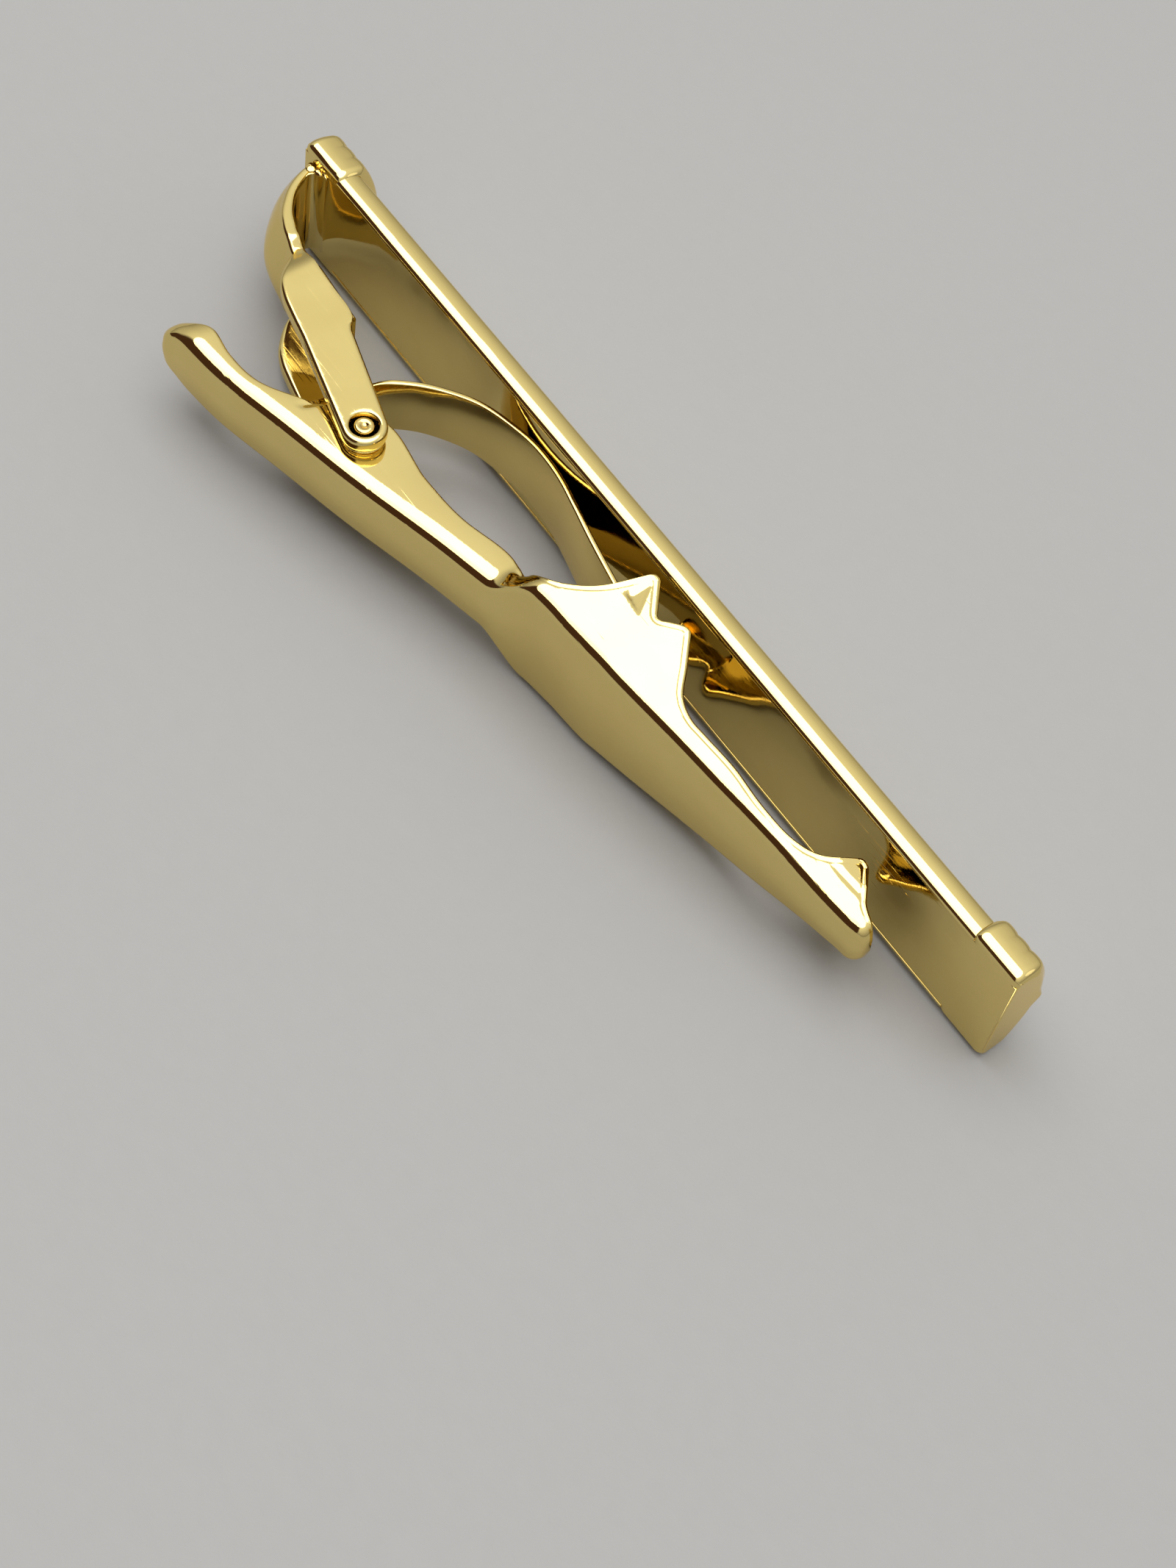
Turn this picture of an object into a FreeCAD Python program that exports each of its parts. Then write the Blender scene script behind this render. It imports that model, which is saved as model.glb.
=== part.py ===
"""Spring tie clip: a domed bar, a goose-neck bracket, a toothed lever on a rivet and a bowed leaf spring.

The clip lies on its long side. X runs along the bar from the bracket end to the jaw end, the bar's front
faces +Y, the lever lies on the -Y side, and Z is the width of the clip. Lengths are millimetres.
"""
import FreeCAD, Part
import math
import os

from FreeCAD import Vector

# Bar: a domed shell, closed at the back by a flat plate between two rounded lips
bar_length = 56.0
bar_width = 7.2
bar_side_depth = 1.5
bar_crown_depth = 2.2
shell_wall = 0.45
lip_width = 0.4
lip_height = 0.1
lip_radius = 0.32
plate_thickness = 0.5

# End caps: a little wider and deeper than the bar, with soft front edges
cap_length = 3.1
cap_step = 0.2
cap_extra_depth = 0.45
cap_round = 0.4

# Pivot, from the bracket end of the bar and from the back plate
pivot_x = 15.86
pivot_reach = 6.98
pin_radius = 0.42
pin_fit = 0.02
running_clearance = 0.05
head_radius = 0.5
head_depth = 0.22
head_sink = 0.04
dimple_radius = 0.2
dimple_depth = 0.1
countersink_radius = 0.77
countersink_depth = 0.4
washer_radius = 0.95
washer_thickness = 0.15
washer_clearance = 0.05

# Bracket: a curved neck with a swelling back, a foot on the bar, a web and two ears
neck_centre_x = 4.95
neck_radius = 3.15
neck_edge = 0.85
neck_swell = 0.7
foot_length = 2.7
foot_thickness = 0.4
ear_thickness = 0.8
ear_radius = 1.15
web_thickness = 0.8

# Lever: a channel pressed from sheet, narrow between the ears, wide at the jaw
lever_sheet = 0.5
thumb_length = 11.36
jaw_length = 34.2
thumb_width = 4.0
jaw_width = 7.6
tip_width = 3.0
lug_radius = 1.6
stake_depth = 0.12

# Leaf spring
leaf_thickness = 0.3
leaf_width = 4.2
leaf_side_clearance = 0.2
leaf_seat_clearance = 0.05
leaf_tail_clearance = 0.1

# Cuts run past what they cut by this much
overrun = 1.0

# Outlines in plan. The first number is a share of thumb_length (towards the thumb end) or of jaw_length
# (towards the jaw), counted from the pivot. The second is a share of pivot_reach, counted from the back plate.
thumb_back_shares = [(0.955, 1.642), (0.868, 1.628), (0.60, 1.582), (0.225, 1.44)]
jaw_back_shares = [(0.045, 1.304), (0.194, 1.103), (0.305, 0.972), (0.361, 0.885), (0.50, 0.822), (0.677, 0.692),
                   (0.829, 0.584), (0.955, 0.497)]
thumb_end_shares = [(0.955, 1.642), (1.0, 1.58), (0.969, 1.495), (0.92, 1.45)]
thumb_edge_shares = [(0.92, 1.45), (0.83, 1.36), (0.66, 1.381), (0.48, 1.338), (0.263, 1.105)]
jaw_lead_shares = [(0.097, 0.817), (0.153, 0.81), (0.19, 0.788), (0.27, 0.692), (0.32, 0.722), (0.357, 0.706),
                   (0.381, 0.602), (0.404, 0.437), (0.427, 0.09)]
jaw_teeth_shares = [(0.427, 0.09), (0.438, 0.086), (0.484, 0.282), (0.49, 0.286), (0.515, 0.16), (0.526, 0.15)]
jaw_waist_shares = [(0.526, 0.15), (0.565, 0.322), (0.60, 0.476), (0.63, 0.515), (0.656, 0.502), (0.715, 0.466),
                    (0.779, 0.466), (0.834, 0.43), (0.872, 0.33), (0.904, 0.1)]
jaw_tip_shares = [(0.904, 0.1), (0.916, 0.1), (0.957, 0.279), (0.984, 0.335), (1.0, 0.372)]

# Outline in elevation: where the lever widens at the crimp and where it starts to taper, along the jaw
crimp_start_share = 0.29
crimp_end_share = 0.355
taper_start_share = 0.50
taper_end_share = 0.965
thumb_round_share = 0.09
thumb_nose_share = 0.35
tip_nose_share = 0.4

# Triangular stake mark on the first tooth, in the jaw's own shares
stake_shares = [(0.431, 0.344), (0.437, 0.15), (0.469, 0.38)]

# Ear outline: shares of pivot_x and of pivot_reach; the web ends at web_end_share
ear_shoulder_shares = [(0.363, 0.638), (0.422, 0.838)]
web_end_share = 0.637
web_drop_share = 0.516
ear_notch_shares = [(0.637, 0.566), (0.668, 0.595)]

# Leaf spring's middle line: the tail on the thumb side, the crown on the bar, the foot in the jaw
tail_shares = [(0.305, 1.15), (0.277, 0.905), (0.229, 0.65), (0.136, 0.425), (0.042, 0.285)]
tail_end_share = 0.31
foot_shares = [(0.034, 0.14), (0.10, 0.054)]
crown_share = 0.146
jaw_leaf_shares = [(0.197, 0.042), (0.25, 0.095), (0.306, 0.16), (0.39, 0.243), (0.52, 0.36)]
leaf_tail_share = 0.29
leaf_waist_share = 0.2

# Worked out from the sizes above
mid_z = bar_width / 2 + cap_step
yoke_gap = thumb_width + 2 * (washer_thickness + washer_clearance)
yoke_width = yoke_gap + 2 * ear_thickness
plate_width = bar_width - 2 * lip_width
leaf_tail_width = thumb_width - 2 * (lever_sheet + leaf_side_clearance)
leaf_waist_width = yoke_gap - 4 * leaf_side_clearance
pivot = Vector(pivot_x, -pivot_reach, 0)
along_z = Vector(0, 0, 1)


def thumb_point(along_share, depth_share):
    """Plan point on the thumb side of the pivot."""
    return Vector(pivot_x - along_share * thumb_length, -depth_share * pivot_reach, 0)


def jaw_point(along_share, depth_share):
    """Plan point on the jaw side of the pivot."""
    return Vector(pivot_x + along_share * jaw_length, -depth_share * pivot_reach, 0)


def ear_point(along_share, depth_share):
    """Plan point of the bracket's ear."""
    return Vector(along_share * pivot_x, -depth_share * pivot_reach, 0)


def curve(points):
    """Smooth edge through the points."""
    spline = Part.BSplineCurve()
    spline.interpolate(points)
    return spline.toShape()


def chain(points):
    """Straight edges from point to point."""
    return [Part.LineSegment(start, end).toShape() for start, end in zip(points, points[1:])]


def prism(edges, low_z, high_z):
    """Solid between two heights over a closed plan outline."""
    face = Part.Face(Part.Wire(Part.__sortEdges__(edges)))
    face.translate(Vector(0, 0, low_z))
    return face.extrude(Vector(0, 0, high_z - low_z))


def cylinder(radius, low_z, high_z):
    """Round solid on the pivot's axis."""
    return Part.makeCylinder(radius, high_z - low_z, Vector(pivot.x, pivot.y, low_z), along_z)


def bar_section(width, side_depth, crown_depth, start_x, length):
    """Solid bar with flat sides, a domed front and rounded back corners."""
    half = width / 2
    back = -lip_height
    turn = lip_radius * (1 - math.sqrt(0.5))
    corners = []
    for side in (-1, 1):
        edge = mid_z + side * half
        corners.append([
            Vector(start_x, back, edge - side * lip_radius),
            Vector(start_x, back + turn, edge - side * turn),
            Vector(start_x, back + lip_radius, edge),
            Vector(start_x, side_depth, edge),
        ])
    low, high = corners
    crown = Vector(start_x, crown_depth, mid_z)
    edges = [
        Part.Arc(low[0], low[1], low[2]).toShape(),
        Part.LineSegment(low[2], low[3]).toShape(),
        Part.Arc(low[3], crown, high[3]).toShape(),
        Part.LineSegment(high[3], high[2]).toShape(),
        Part.Arc(high[2], high[1], high[0]).toShape(),
        Part.LineSegment(high[0], low[0]).toShape(),
    ]
    return Part.Face(Part.Wire(edges)).extrude(Vector(length, 0, 0))


def plate_block(depth_from, depth_to):
    """Block as long as the bar and as wide as the back plate."""
    corner = Vector(0, depth_from, mid_z - plate_width / 2)
    return Part.makeBox(bar_length, depth_to - depth_from, plate_width, corner)


def make_front_shell():
    """Domed shell between the end caps, open at the back where the plate lies."""
    length = bar_length - 2 * cap_length
    body = bar_section(bar_width, bar_side_depth, bar_crown_depth, cap_length, length)
    half = plate_width / 2
    low = Vector(cap_length, bar_side_depth - shell_wall, mid_z - half)
    high = Vector(cap_length, bar_side_depth - shell_wall, mid_z + half)
    crown = Vector(cap_length, bar_crown_depth - shell_wall, mid_z)
    open_low = Vector(cap_length, -lip_height - overrun, mid_z - half)
    open_high = Vector(cap_length, -lip_height - overrun, mid_z + half)
    edges = [Part.Arc(low, crown, high).toShape()] + chain([high, open_high, open_low, low])
    hollow = Part.Face(Part.Wire(edges)).extrude(Vector(length, 0, 0))
    return body.cut(hollow)


def make_back_plate():
    """Flat polished plate along the whole back of the bar."""
    return plate_block(0, plate_thickness)


def make_end_cap(start_x):
    """Raised end block with soft edges round its domed front."""
    width = bar_width + 2 * cap_step
    side_depth = bar_side_depth + cap_extra_depth
    crown_depth = bar_crown_depth + cap_extra_depth
    cap = bar_section(width, side_depth, crown_depth, start_x, cap_length)
    rims = [edge for edge in cap.Edges if is_front_rim(edge, side_depth)]
    cap = cap.makeFillet(cap_round, rims)
    return cap.cut(plate_block(-lip_height - overrun, plate_thickness))


def is_front_rim(edge, side_depth):
    """True for the edges of an end block's domed front."""
    return min(vertex.Point.y for vertex in edge.Vertexes) > side_depth - lip_height


def make_bracket():
    """Neck, web and ears of one strip, drilled and countersunk for the rivet."""
    low_z = mid_z - yoke_width / 2
    high_z = mid_z + yoke_width / 2
    centre = Vector(neck_centre_x, 0, 0)
    outer = neck_radius + neck_edge
    crown = outer + neck_swell
    low_in = centre + Vector(-neck_radius, 0, low_z)
    low_out = centre + Vector(-outer, 0, low_z)
    high_in = centre + Vector(-neck_radius, 0, high_z)
    high_out = centre + Vector(-outer, 0, high_z)
    swell = Part.Arc(low_out, centre + Vector(-crown, 0, mid_z), high_out).toShape()
    rim = [swell] + chain([high_out, high_in, low_in, low_out])
    neck = Part.Face(Part.Wire(rim)).revolve(centre, along_z, 90)
    web_start = centre + Vector(0, -neck_radius, 0)
    web_end = ear_point(web_end_share, web_drop_share)
    step = Vector(0, -web_thickness, 0)
    web = prism(chain([web_start, web_end, web_end + step, web_start + step, web_start]), low_z, high_z)
    heel = centre + Vector(-outer, 0, 0)
    toe = heel + Vector(foot_length, 0, 0)
    lift = Vector(0, -foot_thickness, 0)
    foot = prism(chain([heel, toe, toe + lift, heel + lift, heel]), low_z, high_z)
    body = neck.fuse([web, foot])
    for ear_low in (low_z, high_z - ear_thickness):
        body = body.fuse(make_ear(web_start, web_end, outer, ear_low))
    body = body.removeSplitter()
    hole = cylinder(pin_radius + pin_fit, low_z - overrun, high_z + overrun)
    body = body.cut(hole)
    for surface, inward in ((high_z, -1), (low_z, 1)):
        cone = Part.makeCone(countersink_radius, pin_radius + pin_fit, countersink_depth,
                             Vector(pivot.x, pivot.y, surface), Vector(0, 0, inward))
        body = body.cut(cone)
    return body


def tangent_points(far_point, side):
    """Point where a line from far_point touches the ear's round end, on the given side."""
    reach = far_point - pivot
    spread = math.acos(ear_radius / reach.Length)
    angle = math.atan2(reach.y, reach.x) + side * spread
    return pivot + Vector(ear_radius * math.cos(angle), ear_radius * math.sin(angle), 0)


def make_ear(web_start, web_end, outer, low_z):
    """Flat ear from the neck past the web to its round end about the pivot."""
    shoulder = [ear_point(*share) for share in ear_shoulder_shares]
    notch = [ear_point(*share) for share in ear_notch_shares]
    left = tangent_points(shoulder[-1], 1)
    right = tangent_points(notch[-1], -1)
    heading = (pivot - shoulder[-1]).normalize()
    end = pivot + heading * ear_radius
    start = web_start + Vector(0, neck_radius - outer, 0)
    edges = chain([start] + shoulder + [left])
    edges.append(Part.Arc(left, end, right).toShape())
    edges += chain([right] + notch[::-1] + [web_end, web_start, start])
    return prism(edges, low_z, low_z + ear_thickness)


def lever_elevation(inset):
    """Prism of the lever's outline seen from behind, drawn in by the inset all round."""
    thumb_half = thumb_width / 2 - inset
    jaw_half = jaw_width / 2 - inset
    tip_half = tip_width / 2 - inset
    nose_x = thumb_point(1, 0).x + inset
    round_x = thumb_point(1 - thumb_round_share, 0).x + inset
    crimp_x = jaw_point(crimp_start_share, 0).x
    wide_x = jaw_point(crimp_end_share, 0).x
    taper_x = jaw_point(taper_start_share, 0).x
    tip_x = jaw_point(taper_end_share, 0).x
    end_x = jaw_point(1, 0).x - inset
    upper = [
        (nose_x, thumb_half * thumb_nose_share),
        (round_x, thumb_half),
        (crimp_x, thumb_half),
        (wide_x, jaw_half),
        (taper_x, jaw_half),
        (tip_x, tip_half),
        (end_x, tip_half * tip_nose_share),
    ]
    points = [Vector(x, overrun, mid_z + half) for x, half in upper]
    points += [Vector(x, overrun, mid_z - half) for x, half in reversed(upper)]
    face = Part.Face(Part.makePolygon(points + points[:1]))
    return face.extrude(Vector(0, -2 * (pivot_reach + thumb_length + overrun), 0))


def lever_back(shift):
    """Points of the lever's back line, from the thumb end to the jaw's tip, moved towards the bar by shift."""
    points = [thumb_point(*share) for share in thumb_back_shares]
    points += [jaw_point(*share) for share in jaw_back_shares]
    return [point + Vector(0, shift, 0) for point in points]


def make_lever():
    """Pressed channel with a thumb end, two pivot lugs and a toothed jaw."""
    low_z = mid_z - jaw_width / 2
    high_z = mid_z + jaw_width / 2
    back = lever_back(0)
    thumb_end = [thumb_point(*share) for share in thumb_end_shares]
    thumb_edge = [thumb_point(*share) for share in thumb_edge_shares]
    lead = [jaw_point(*share) for share in jaw_lead_shares]
    teeth = [jaw_point(*share) for share in jaw_teeth_shares]
    waist = [jaw_point(*share) for share in jaw_waist_shares]
    tip = [jaw_point(*share) for share in jaw_tip_shares]
    lug_top = pivot + Vector(0, lug_radius, 0)
    lug_side = pivot + Vector(-lug_radius, lug_radius / 2, 0)
    edges = [curve(back), curve(thumb_end), curve(thumb_edge), curve([lug_top] + lead), curve(waist)]
    edges += [Part.Arc(thumb_edge[-1], lug_side, lug_top).toShape()]
    edges += chain(teeth)
    edges += chain(tip + [back[-1]])
    outer = prism(edges, low_z, high_z).common(lever_elevation(0))
    inner_back = lever_back(lever_sheet)
    corner = Vector(inner_back[-1].x, overrun, 0)
    start = Vector(inner_back[0].x - thumb_length, inner_back[0].y, 0)
    beyond = tip[-1] + Vector(0, lever_sheet, 0)
    top = [beyond, Vector(beyond.x, corner.y, 0), Vector(start.x, corner.y, 0), start, inner_back[0]]
    hollow = prism([curve(inner_back)] + chain([inner_back[-1]] + top), low_z, high_z)
    lever = outer.cut(hollow.common(lever_elevation(lever_sheet)))
    bore = cylinder(pin_radius + running_clearance, low_z - overrun, high_z + overrun)
    lever = lever.cut(bore)
    corners = [jaw_point(*share) for share in stake_shares]
    for surface, depth in ((high_z, -stake_depth), (low_z, stake_depth)):
        ends = sorted((surface + depth, surface - depth))
        lever = lever.cut(prism(chain(corners + corners[:1]), ends[0], ends[1]))
    return lever


def make_rivet():
    """Pin through both ears and the lever, with a peened and dimpled head in each countersink."""
    half = yoke_width / 2 - head_sink
    neck = half - head_depth
    shank = half - countersink_depth
    profile = [
        Vector(0, 0, half - dimple_depth),
        Vector(dimple_radius, 0, half),
        Vector(head_radius - dimple_depth, 0, half),
        Vector(head_radius, 0, half - dimple_depth),
        Vector(head_radius, 0, neck),
        Vector(pin_radius, 0, shank),
    ]
    mirrored = [Vector(point.x, 0, -point.z) for point in reversed(profile)]
    face = Part.Face(Part.makePolygon(profile + mirrored + profile[:1]))
    rivet = face.revolve(Vector(0, 0, 0), along_z, 360)
    rivet.translate(pivot + Vector(0, 0, mid_z))
    return rivet


def make_washer(side):
    """Spacer between one ear and the lever's lug, against the ear."""
    outer_face = mid_z + side * yoke_gap / 2
    inner_face = outer_face - side * washer_thickness
    low_z, high_z = sorted((outer_face, inner_face))
    ring = cylinder(washer_radius, low_z, high_z)
    return ring.cut(cylinder(pin_radius + pin_fit, low_z - overrun, high_z + overrun))


def leaf_line():
    """Points of the leaf's middle line, from its tail on the lever to its foot in the jaw."""
    tail_x = thumb_point(tail_end_share, 0).x
    tail_y = lever_depth_at(tail_x) + lever_sheet + leaf_tail_clearance + leaf_thickness / 2
    crown = jaw_point(crown_share, 0) - Vector(0, leaf_seat_clearance + leaf_thickness / 2, 0)
    points = [Vector(tail_x, tail_y, 0)]
    points += [thumb_point(*share) for share in tail_shares]
    points += [jaw_point(*share) for share in foot_shares]
    points.append(crown)
    points += [jaw_point(*share) for share in jaw_leaf_shares]
    return points


def lever_depth_at(place_x):
    """Y of the lever's back line at a place along it, between its points."""
    points = lever_back(0)
    for start, end in zip(points, points[1:]):
        if start.x <= place_x <= end.x:
            return start.y + (end.y - start.y) * (place_x - start.x) / (end.x - start.x)
    return points[0].y


def make_leaf_spring():
    """Bowed strip, narrow at the tail, soldered to the bar at its crown."""
    spline = Part.BSplineCurve()
    spline.interpolate(leaf_line())
    half = leaf_thickness / 2
    sides = []
    for side in (half, -half):
        points = []
        for place in spline.discretize(leaf_steps()):
            tangent = spline.tangent(spline.parameter(place))[0]
            points.append(place + Vector(-tangent.y, tangent.x, 0) * side)
        sides.append(points)
    upper, lower = sides
    edges = [curve(upper), curve(lower)] + chain([upper[0], lower[0]]) + chain([upper[-1], lower[-1]])
    strip = prism(edges, mid_z - leaf_width / 2, mid_z + leaf_width / 2)
    return strip.common(leaf_elevation())


def leaf_steps():
    """Number of places at which the strip's two faces are set out."""
    return 2 * (len(tail_shares) + len(jaw_leaf_shares)) + 1


def leaf_elevation():
    """Prism of the leaf's outline seen from behind: tail, waist between the ears, full width at the bar."""
    start = thumb_point(1, 0).x
    tail = thumb_point(leaf_tail_share, 0).x
    waist = thumb_point(leaf_waist_share, 0).x
    full = jaw_point(crown_share, 0).x
    end = jaw_point(1, 0).x
    upper = [
        (start, leaf_tail_width / 2),
        (tail, leaf_tail_width / 2),
        (waist, leaf_waist_width / 2),
        (full, leaf_width / 2),
        (end, leaf_width / 2),
    ]
    points = [Vector(x, overrun, mid_z + half) for x, half in upper]
    points += [Vector(x, overrun, mid_z - half) for x, half in reversed(upper)]
    face = Part.Face(Part.makePolygon(points + points[:1]))
    return face.extrude(Vector(0, -2 * (pivot_reach + thumb_length + overrun), 0))


def main():
    """Build every piece, set the origin under the middle of the clip and write one file for each piece."""
    pieces = {
        "front_shell": make_front_shell(),
        "back_plate": make_back_plate(),
        "bracket_end_cap": make_end_cap(0),
        "jaw_end_cap": make_end_cap(bar_length - cap_length),
        "bracket": make_bracket(),
        "pivot_rivet": make_rivet(),
        "upper_washer": make_washer(1),
        "lower_washer": make_washer(-1),
        "lever": make_lever(),
        "leaf_spring": make_leaf_spring(),
    }
    box = Part.makeCompound(list(pieces.values())).optimalBoundingBox(False, False)
    origin = Vector(box.Center.x, box.Center.y, box.ZMin)
    os.makedirs("parts", exist_ok=True)
    for name, shape in pieces.items():
        shape.translate(-origin)
        print(name, "valid", shape.isValid(), "solids", len(shape.Solids), "volume", round(shape.Volume, 3))
        shape.exportStep("parts/" + name + ".step")
    print("origin", origin, "box", box.XLength, box.YLength, box.ZLength)


main()
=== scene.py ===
"""Looks of a spring tie clip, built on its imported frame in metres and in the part's own axes.

Plan sizes are millimetres: x from the bracket end of the bar, y from the face
of the back plate with the front of the bar at plus y, z from mid-width.
"""
import logging
import math
from dataclasses import dataclass, field
from enum import Enum
from typing import Sequence

import bmesh
import bpy
import numpy as np
from mathutils import Matrix, Vector
from mathutils.geometry import delaunay_2d_cdt


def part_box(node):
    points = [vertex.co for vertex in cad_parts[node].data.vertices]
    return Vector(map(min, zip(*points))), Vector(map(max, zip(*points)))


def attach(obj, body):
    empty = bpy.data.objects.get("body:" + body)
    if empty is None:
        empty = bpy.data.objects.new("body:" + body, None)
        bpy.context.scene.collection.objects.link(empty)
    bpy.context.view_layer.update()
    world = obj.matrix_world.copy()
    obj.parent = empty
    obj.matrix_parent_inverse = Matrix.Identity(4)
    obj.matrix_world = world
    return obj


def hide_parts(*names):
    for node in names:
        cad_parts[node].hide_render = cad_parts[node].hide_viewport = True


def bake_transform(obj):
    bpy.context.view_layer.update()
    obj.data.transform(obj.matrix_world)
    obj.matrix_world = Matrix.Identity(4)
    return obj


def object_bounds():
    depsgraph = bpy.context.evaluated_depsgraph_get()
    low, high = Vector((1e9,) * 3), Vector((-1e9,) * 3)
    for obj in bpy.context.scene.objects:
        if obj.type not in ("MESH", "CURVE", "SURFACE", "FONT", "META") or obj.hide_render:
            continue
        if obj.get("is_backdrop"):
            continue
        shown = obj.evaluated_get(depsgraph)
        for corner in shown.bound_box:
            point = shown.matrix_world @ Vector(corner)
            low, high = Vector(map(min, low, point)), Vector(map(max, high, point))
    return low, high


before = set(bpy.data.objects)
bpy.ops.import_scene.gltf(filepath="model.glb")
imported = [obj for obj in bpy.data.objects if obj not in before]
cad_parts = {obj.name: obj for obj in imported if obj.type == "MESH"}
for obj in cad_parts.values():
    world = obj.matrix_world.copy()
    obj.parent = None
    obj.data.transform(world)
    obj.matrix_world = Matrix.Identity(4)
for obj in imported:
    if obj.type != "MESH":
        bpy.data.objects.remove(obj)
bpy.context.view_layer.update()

Plan = tuple[float, float]
Place = tuple[float, float, float]
Colour = tuple[float, float, float]

LOG = logging.getLogger("tie_clip")
MM = 0.001

# Middle of the rivet in plan, shared by the bracket, the lever and the pin
PIVOT: Plan = (15.86, -6.98)

# Points nearer than this, in metres, become one: in drawn meshes and in grown ones
DRAWN_WELD = 2e-7
GROWN_WELD = 3e-6
NO_LENGTH = 1e-8


class Brush(Enum):
    """Way the polishing marks run, as texture stretch along x, y and z."""

    ALONG_BAR = (260.0, 15000.0, 15000.0)
    CLOUDY = (2600.0, 2600.0, 2600.0)


class Axis(Enum):
    """Direction a rounded prism is drawn along, with the order of its outline axes."""

    X = (2, 0, 1)
    Y = (1, 2, 0)
    Z = (0, 1, 2)


@dataclass(frozen=True)
class Datum:
    """Place of the plan's zero in the frame.

    Attributes:
        corner: Bracket end, plate face and mid-width, in metres.
    """

    corner: Place

    @classmethod
    def from_frame(cls) -> "Datum":
        """Returns the datum read off the back plate's box."""
        low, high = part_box("back_plate")
        return cls((low.x, low.y, (low.z + high.z) / 2))

    def metres(self, points: Sequence[Place] | np.ndarray) -> np.ndarray:
        """Returns plan points in millimetres as frame points in metres."""
        return np.asarray(points, float) * MM + np.array(self.corner)

    def along(self, x: float) -> float:
        """Returns a plan x in millimetres as a frame x in metres."""
        return float(self.metres([(x, 0.0, 0.0)])[0, 0])


DATUM = Datum.from_frame()


# Lines and outlines


def smooth_line(points: Sequence[Plan], pieces: int = 24) -> np.ndarray:
    """Draws a smooth line through points.

    Args:
        points: Points the line passes through.
        pieces: Short steps between neighbouring points.

    Returns:
        The line's points, ends included.
    """
    given = np.asarray(points, float)
    held = np.vstack([2 * given[0] - given[1], given, 2 * given[-1] - given[-2]])
    knots = np.concatenate([[0.0], np.cumsum(np.sqrt(np.linalg.norm(np.diff(held, axis=0), axis=1)))])
    runs = []
    for i in range(1, len(held) - 2):
        t0, t1, t2, t3 = knots[i - 1:i + 3]
        p0, p1, p2, p3 = held[i - 1:i + 3]
        t = np.linspace(t1, t2, pieces, endpoint=False)[:, None]
        a1 = (t1 - t) / (t1 - t0) * p0 + (t - t0) / (t1 - t0) * p1
        a2 = (t2 - t) / (t2 - t1) * p1 + (t - t1) / (t2 - t1) * p2
        a3 = (t3 - t) / (t3 - t2) * p2 + (t - t2) / (t3 - t2) * p3
        b1 = (t2 - t) / (t2 - t0) * a1 + (t - t0) / (t2 - t0) * a2
        b2 = (t3 - t) / (t3 - t1) * a2 + (t - t1) / (t3 - t1) * a3
        runs.append((t2 - t) / (t2 - t1) * b1 + (t - t1) / (t2 - t1) * b2)
    return np.vstack(runs + [given[-1:]])


def even_steps(line: np.ndarray, step: float) -> np.ndarray:
    """Walks a line again at even steps.

    Args:
        line: Points of the line.
        step: Length of a step, about.

    Returns:
        The new points, ends included.
    """
    reach = np.concatenate([[0.0], np.cumsum(np.linalg.norm(np.diff(line, axis=0), axis=1))])
    at = np.linspace(0.0, reach[-1], max(2, int(round(reach[-1] / step)) + 1))
    return np.column_stack([np.interp(at, reach, line[:, k]) for k in range(line.shape[1])])


def arc(centre: Sequence[float], radius: float, start: float, end: float, pieces: int) -> np.ndarray:
    """Returns points of an arc, angles in degrees, both ends included."""
    turn = np.radians(np.linspace(start, end, pieces + 1))
    return np.column_stack([centre[0] + radius * np.cos(turn), centre[1] + radius * np.sin(turn)])


def direction(angle: float) -> np.ndarray:
    """Returns the unit vector at an angle in degrees."""
    return np.array([math.cos(math.radians(angle)), math.sin(math.radians(angle))])


def ease(value: np.ndarray | float) -> np.ndarray:
    """Returns a smooth rise from 0 to 1 as the value goes from 0 to 1."""
    t = np.clip(value, 0.0, 1.0)
    return t * t * (3.0 - 2.0 * t)


def counter_clockwise(loop: np.ndarray) -> np.ndarray:
    """Turns a closed outline round where it runs clockwise.

    Args:
        loop: Points of the outline.

    Returns:
        The outline, counter-clockwise.
    """
    after = np.roll(loop, -1, 0)
    turned = np.sum(loop[:, 0] * after[:, 1] - after[:, 0] * loop[:, 1])
    return loop if turned > 0 else loop[::-1]


def inset(outline: np.ndarray, distance: float, least_lean: float = 0.35) -> np.ndarray:
    """Draws a counter-clockwise outline in by a distance.

    Args:
        outline: Outline in plan.
        distance: How far it is drawn in.
        least_lean: Keeps sharp corners from being drawn too far.

    Returns:
        The outline that was drawn in.
    """
    before = outline - np.roll(outline, 1, 0)
    after = np.roll(outline, -1, 0) - outline
    before /= np.linalg.norm(before, axis=1)[:, None]
    after /= np.linalg.norm(after, axis=1)[:, None]
    left_a = np.column_stack([-before[:, 1], before[:, 0]])
    left_b = np.column_stack([-after[:, 1], after[:, 0]])
    lean = np.maximum(1.0 + np.sum(left_a * left_b, axis=1), least_lean)
    return outline + (left_a + left_b) / lean[:, None] * distance


def inside(outline: np.ndarray, spots: np.ndarray) -> np.ndarray:
    """Finds which spots in plan lie inside an outline.

    Args:
        outline: Closed outline.
        spots: Points to test.

    Returns:
        True for each spot inside.
    """
    after = np.roll(outline, -1, 0)
    x, y = spots[:, :1], spots[:, 1:]
    over = (outline[:, 1] > y) != (after[:, 1] > y)
    rise = np.where(over, after[:, 1] - outline[:, 1], 1.0)
    cross = outline[:, 0] + (y - outline[:, 1]) * (after[:, 0] - outline[:, 0]) / rise
    return np.sum(over & (x < cross), axis=1) % 2 == 1


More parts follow.
